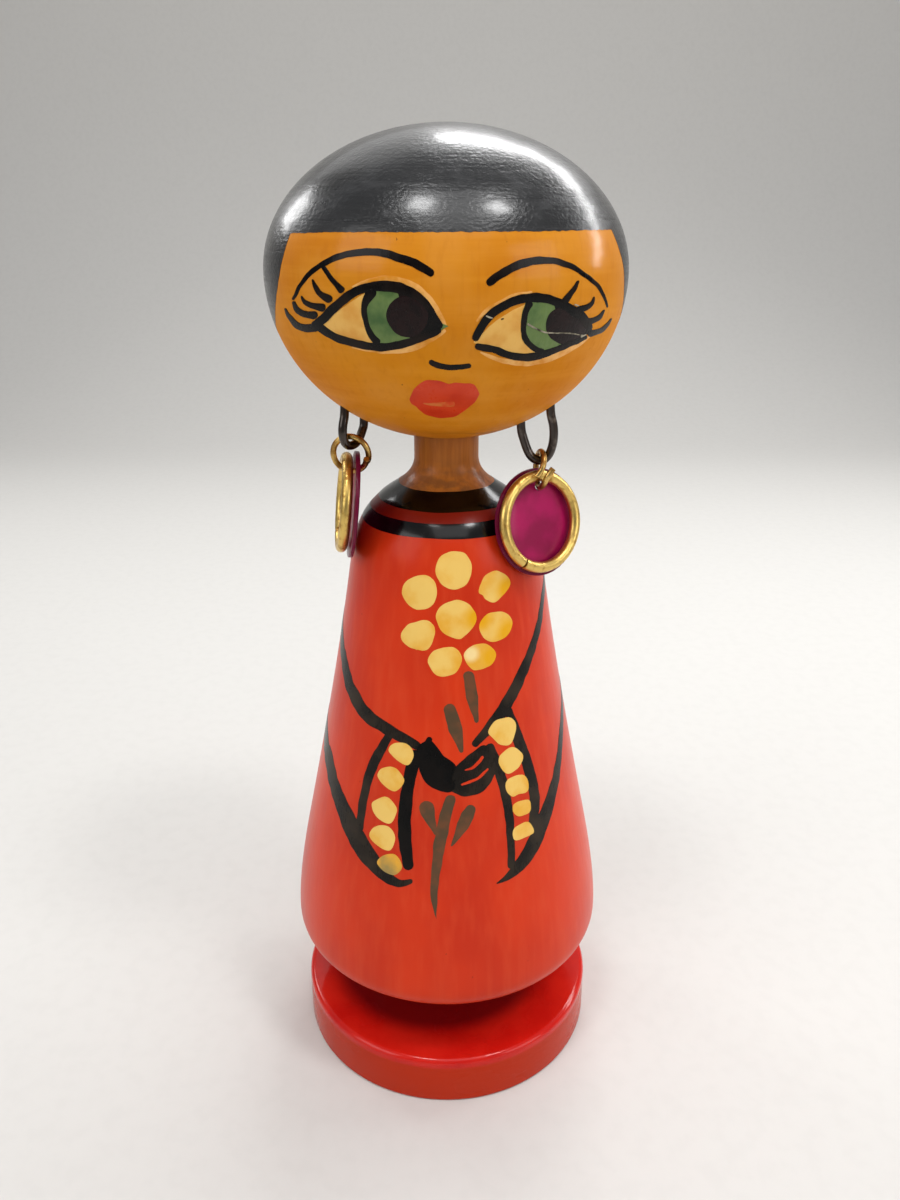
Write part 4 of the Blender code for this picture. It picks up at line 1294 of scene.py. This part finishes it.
LEFT_STRIP = ("left_strip", (-0.43, 0.35, 0.41), 0.16, 0.6)
WORLD_LOW = (0.18, 0.18, 0.185, 1.0)
WORLD_HIGH = (0.38, 0.385, 0.395, 1.0)
WORLD_RISE = (-0.2, 0.9)

floor_line = [(FLOOR_FRONT, 0.0), (0.0, 0.0)]
floor_line += arc((FLOOR_BACK, FLOOR_CURVE), FLOOR_CURVE, FLOOR_CURVE, -90, 0, FLOOR_CURVE_STEPS)
floor_line.append((FLOOR_BACK + FLOOR_CURVE, FLOOR_TOP))
bpy.ops.object.select_all(action="DESELECT")
bpy.ops.mesh.primitive_grid_add(x_subdivisions=1, y_subdivisions=len(floor_line) - 1, size=1)
floor = bpy.context.object
floor.name = "floor"
for index, point in enumerate(floor.data.vertices):
    depth, level = floor_line[index // 2]
    point.co = (FLOOR_HALF_WIDTH * (2 * (index % 2) - 1), depth, level)
bpy.ops.object.shade_smooth()
floor_finish, floor_shader, floor_place = new_finish("pale_floor", Roughness=0.85)
floor_mottle = floor_place.grain(*FLOOR_GRAIN).ramp(*FLOOR_GRAIN_EDGES)
floor_mottle.colour(srgb(FLOOR_PALE), srgb(FLOOR_MOTTLE)).feed(floor_shader, "Base Color")
floor.data.materials.append(floor_finish)


def lamp(name, place, size, power):
    """A square soft lamp that faces the doll's shoulders."""
    bpy.ops.object.light_add(type="AREA", location=place)
    light = bpy.context.object
    light.name = name
    light.data.size = size
    light.data.energy = power
    aim = Vector((0, 0, SHOULDER_LEVEL)) - light.location
    light.rotation_euler = aim.to_track_quat("-Z", "Y").to_euler()


for soft_lamp in SOFT_LAMPS:
    lamp(*soft_lamp)
for number, (spot, size) in enumerate(STRIP_LAMPS):
    lamp(f"strip_lamp_{number}", spot, size, STRIP_POWER * size ** 2)
lamp(*LEFT_STRIP)

world = bpy.data.worlds.new("soft_room")
bpy.context.scene.world = world
world.use_nodes = True
sky = Socket(world.node_tree, world.node_tree.nodes.new("ShaderNodeTexCoord").outputs["Generated"])
room_light = sky.part("Z").ramp(*WORLD_RISE).colour(WORLD_LOW, WORLD_HIGH)
room_light.feed(world.node_tree.nodes["Background"], "Color")

bpy.context.scene.view_settings.view_transform = "Standard"
